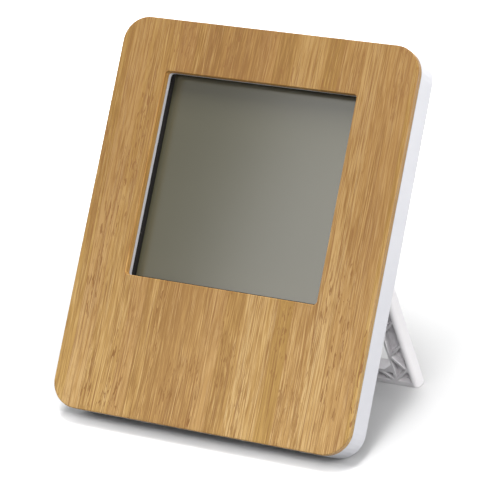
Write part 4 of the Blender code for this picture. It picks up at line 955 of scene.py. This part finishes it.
# Place and size of each softbox. They all face the middle of the object, and the settings give their powers.
MIDDLE = (0.0, 0.0, 0.06)
SOFTBOXES = {
    "top": ((0.10, -0.36, 1.46), (0.25, 0.90)),
    "front": ((0.50, -1.09, 0.80), (0.35, 0.25)),
    "side": ((0.78, -0.10, 0.07), (0.40, 0.13)),
    "window": ((-0.225, -0.62, 0.415), (0.17, 0.27)),
    "left": ((-0.80, 0.02, 0.22), (0.50, 0.30)),
    "back": ((-0.35, 1.10, 0.40), (0.90, 0.50)),
}

SENSOR_WIDTH = 36.0
CLIP_START = 0.01


def softbox(name, place, size, power):
    """A rectangular area light at place that faces the middle of the object."""
    lamp = bpy.data.lights.new(name, "AREA")
    lamp.shape = "RECTANGLE"
    lamp.size, lamp.size_y = size
    lamp.energy = power
    light = bpy.data.objects.new(name, lamp)
    light.location = place
    light.rotation_euler = (Vector(MIDDLE) - Vector(place)).to_track_quat("-Z", "Y").to_euler()
    bpy.context.scene.collection.objects.link(light)


def seen_share(tree):
    """One for rays from the camera, a reflection or a refraction, and nought for light on the object."""
    rays = add_node(tree, "ShaderNodeLightPath").outputs
    seen = maths(tree, "MAXIMUM", rays["Is Camera Ray"], rays["Is Glossy Ray"])
    return maths(tree, "MAXIMUM", seen, rays["Is Transmission Ray"])


def floor_mesh():
    """A level grid of square cells."""
    steps = np.linspace(-FLOOR_HALF, FLOOR_HALF, FLOOR_CELLS + 1)
    x, y = np.meshgrid(steps, steps, indexing="ij")
    places = np.stack([x, y, np.full_like(x, FLOOR_LEVEL)], axis=-1).reshape(-1, 3)
    row, column = np.meshgrid(np.arange(FLOOR_CELLS), np.arange(FLOOR_CELLS), indexing="ij")
    first = (row * len(steps) + column).reshape(-1)
    faces = np.stack([first, first + len(steps), first + len(steps) + 1, first + 1], axis=-1)
    mesh = bpy.data.meshes.new("floor")
    mesh.from_pydata(places.tolist(), [], faces.tolist())
    mesh.update()
    return mesh


def floor_finish():
    """White floor that keeps its contact shadow near the object and turns pure white away from it.

    Near the object it is darker, painted shade that deepens that shadow; in front of the object's front edge it is
    paler, painted light that pales the shadow there.
    """
    material, tree, shader = new_material("white_floor", Roughness=0.9, Specular_IOR_Level=0.0)
    place = add_node(tree, "ShaderNodeTexCoord").outputs["Object"]
    reach = add_node(tree, "ShaderNodeVectorMath", {0: place}, operation="LENGTH").outputs["Value"]
    depth = add_node(tree, "ShaderNodeSeparateXYZ", {0: place}).outputs["Y"]
    # Painted light: in front of the object's front edge the floor takes the paler colour of further off.
    before = ramp(tree, depth, *FRONT_EDGE, 1.0, 0.0)
    share = maths(tree, "MAXIMUM", ramp(tree, reach, *PALE_REACH), before)
    white = blend_colour(tree, share, FLOOR_NEAR_PAINTED_SHADE, FLOOR_BEYOND)
    seen = seen_share(tree)
    far = maths(tree, "MULTIPLY", ramp(tree, reach, *GLOW_REACH), seen)
    feed(tree, shader, Base_Color=blend_colour(tree, seen, FLOOR_BOUNCE, white),
         Emission_Color=blend_colour(tree, far, BLACK, WHITE))
    shader.inputs["Emission Strength"].default_value = 1.0
    material.cycles.emission_sampling = "NONE"
    return material


def make_room(room_light):
    """World that is seen as pure white and lights the object with the weaker room light."""
    world = bpy.data.worlds.new("studio")
    world.use_nodes = True
    tree = world.node_tree
    tree.nodes.clear()
    strength = ramp(tree, seen_share(tree), 0.0, 1.0, room_light, 1.0)
    background = add_node(tree, "ShaderNodeBackground", {"Color": (*WHITE, 1.0), "Strength": strength})
    output = add_node(tree, "ShaderNodeOutputWorld")
    tree.links.new(background.outputs[0], output.inputs["Surface"])
    return world


def make_camera(settings):
    """Camera whose axes are the given ones, made exactly square to each other."""
    back = Vector(settings.camera_back).normalized()
    right = Vector(settings.camera_right)
    right = (right - back * right.dot(back)).normalized()
    turn = Matrix((right, back.cross(right), back)).transposed()
    lens = bpy.data.cameras.new("camera")
    lens.lens = settings.lens
    lens.sensor_width = SENSOR_WIDTH
    lens.sensor_fit = "HORIZONTAL"
    lens.clip_start = CLIP_START
    camera = bpy.data.objects.new("camera", lens)
    camera.matrix_world = Matrix.Translation(settings.camera_place) @ turn.to_4x4()
    return camera


class STATION_OT_stage(bpy.types.Operator):
    """Makes the floor, the lights, the white room and the camera."""

    bl_idname = "station.stage"
    bl_label = "Studio stage"

    def execute(self, context):
        settings = context.scene.station_stage
        scene = context.scene
        floor = bpy.data.objects.new("floor", floor_mesh())
        scene.collection.objects.link(floor)
        floor.data.materials.append(floor_finish())
        scene.world = make_room(settings.room_light)
        for name, (place, size) in SOFTBOXES.items():
            softbox(name, place, size, getattr(settings, name + "_power"))
        camera = make_camera(settings)
        scene.collection.objects.link(camera)
        scene.camera = camera
        scene.view_settings.view_transform = "Standard"
        return {"FINISHED"}


# ---------------------------------------------------------------- panel and registration

OPERATORS = (
    STATION_OT_bamboo_board,
    STATION_OT_gasket,
    STATION_OT_mouldings,
    STATION_OT_stand,
    STATION_OT_display,
    STATION_OT_electronics,
    STATION_OT_power,
    STATION_OT_fasteners,
    STATION_OT_stage,
)
SETTINGS = {
    "station_board": BoardSettings,
    "station_plastic": PlasticSettings,
    "station_display": DisplaySettings,
    "station_stage": StageSettings,
}


class STATION_PT_parts(bpy.types.Panel):
    """Lists the settings and the operators."""

    bl_idname = "STATION_PT_parts"
    bl_label = "Weather station"
    bl_space_type = "VIEW_3D"
    bl_region_type = "UI"
    bl_category = "Station"

    def draw(self, context):
        for name, group in SETTINGS.items():
            box = self.layout.box()
            for label in group.__annotations__:
                box.prop(getattr(context.scene, name), label)
        for operator in OPERATORS:
            self.layout.operator(operator.bl_idname)


CLASSES = (*SETTINGS.values(), *OPERATORS, STATION_PT_parts)


def register():
    """Registers the classes and hangs the settings on the scene."""
    for item in CLASSES:
        bpy.utils.register_class(item)
    for name, group in SETTINGS.items():
        setattr(bpy.types.Scene, name, bpy.props.PointerProperty(type=group))


def unregister():
    """Takes the settings and the classes away again."""
    for name in SETTINGS:
        delattr(bpy.types.Scene, name)
    for item in reversed(CLASSES):
        bpy.utils.unregister_class(item)


def main():
    register()
    for operator in OPERATORS:
        group, name = operator.bl_idname.split(".")
        getattr(getattr(bpy.ops, group), name)()


if __name__ == "__main__":
    main()
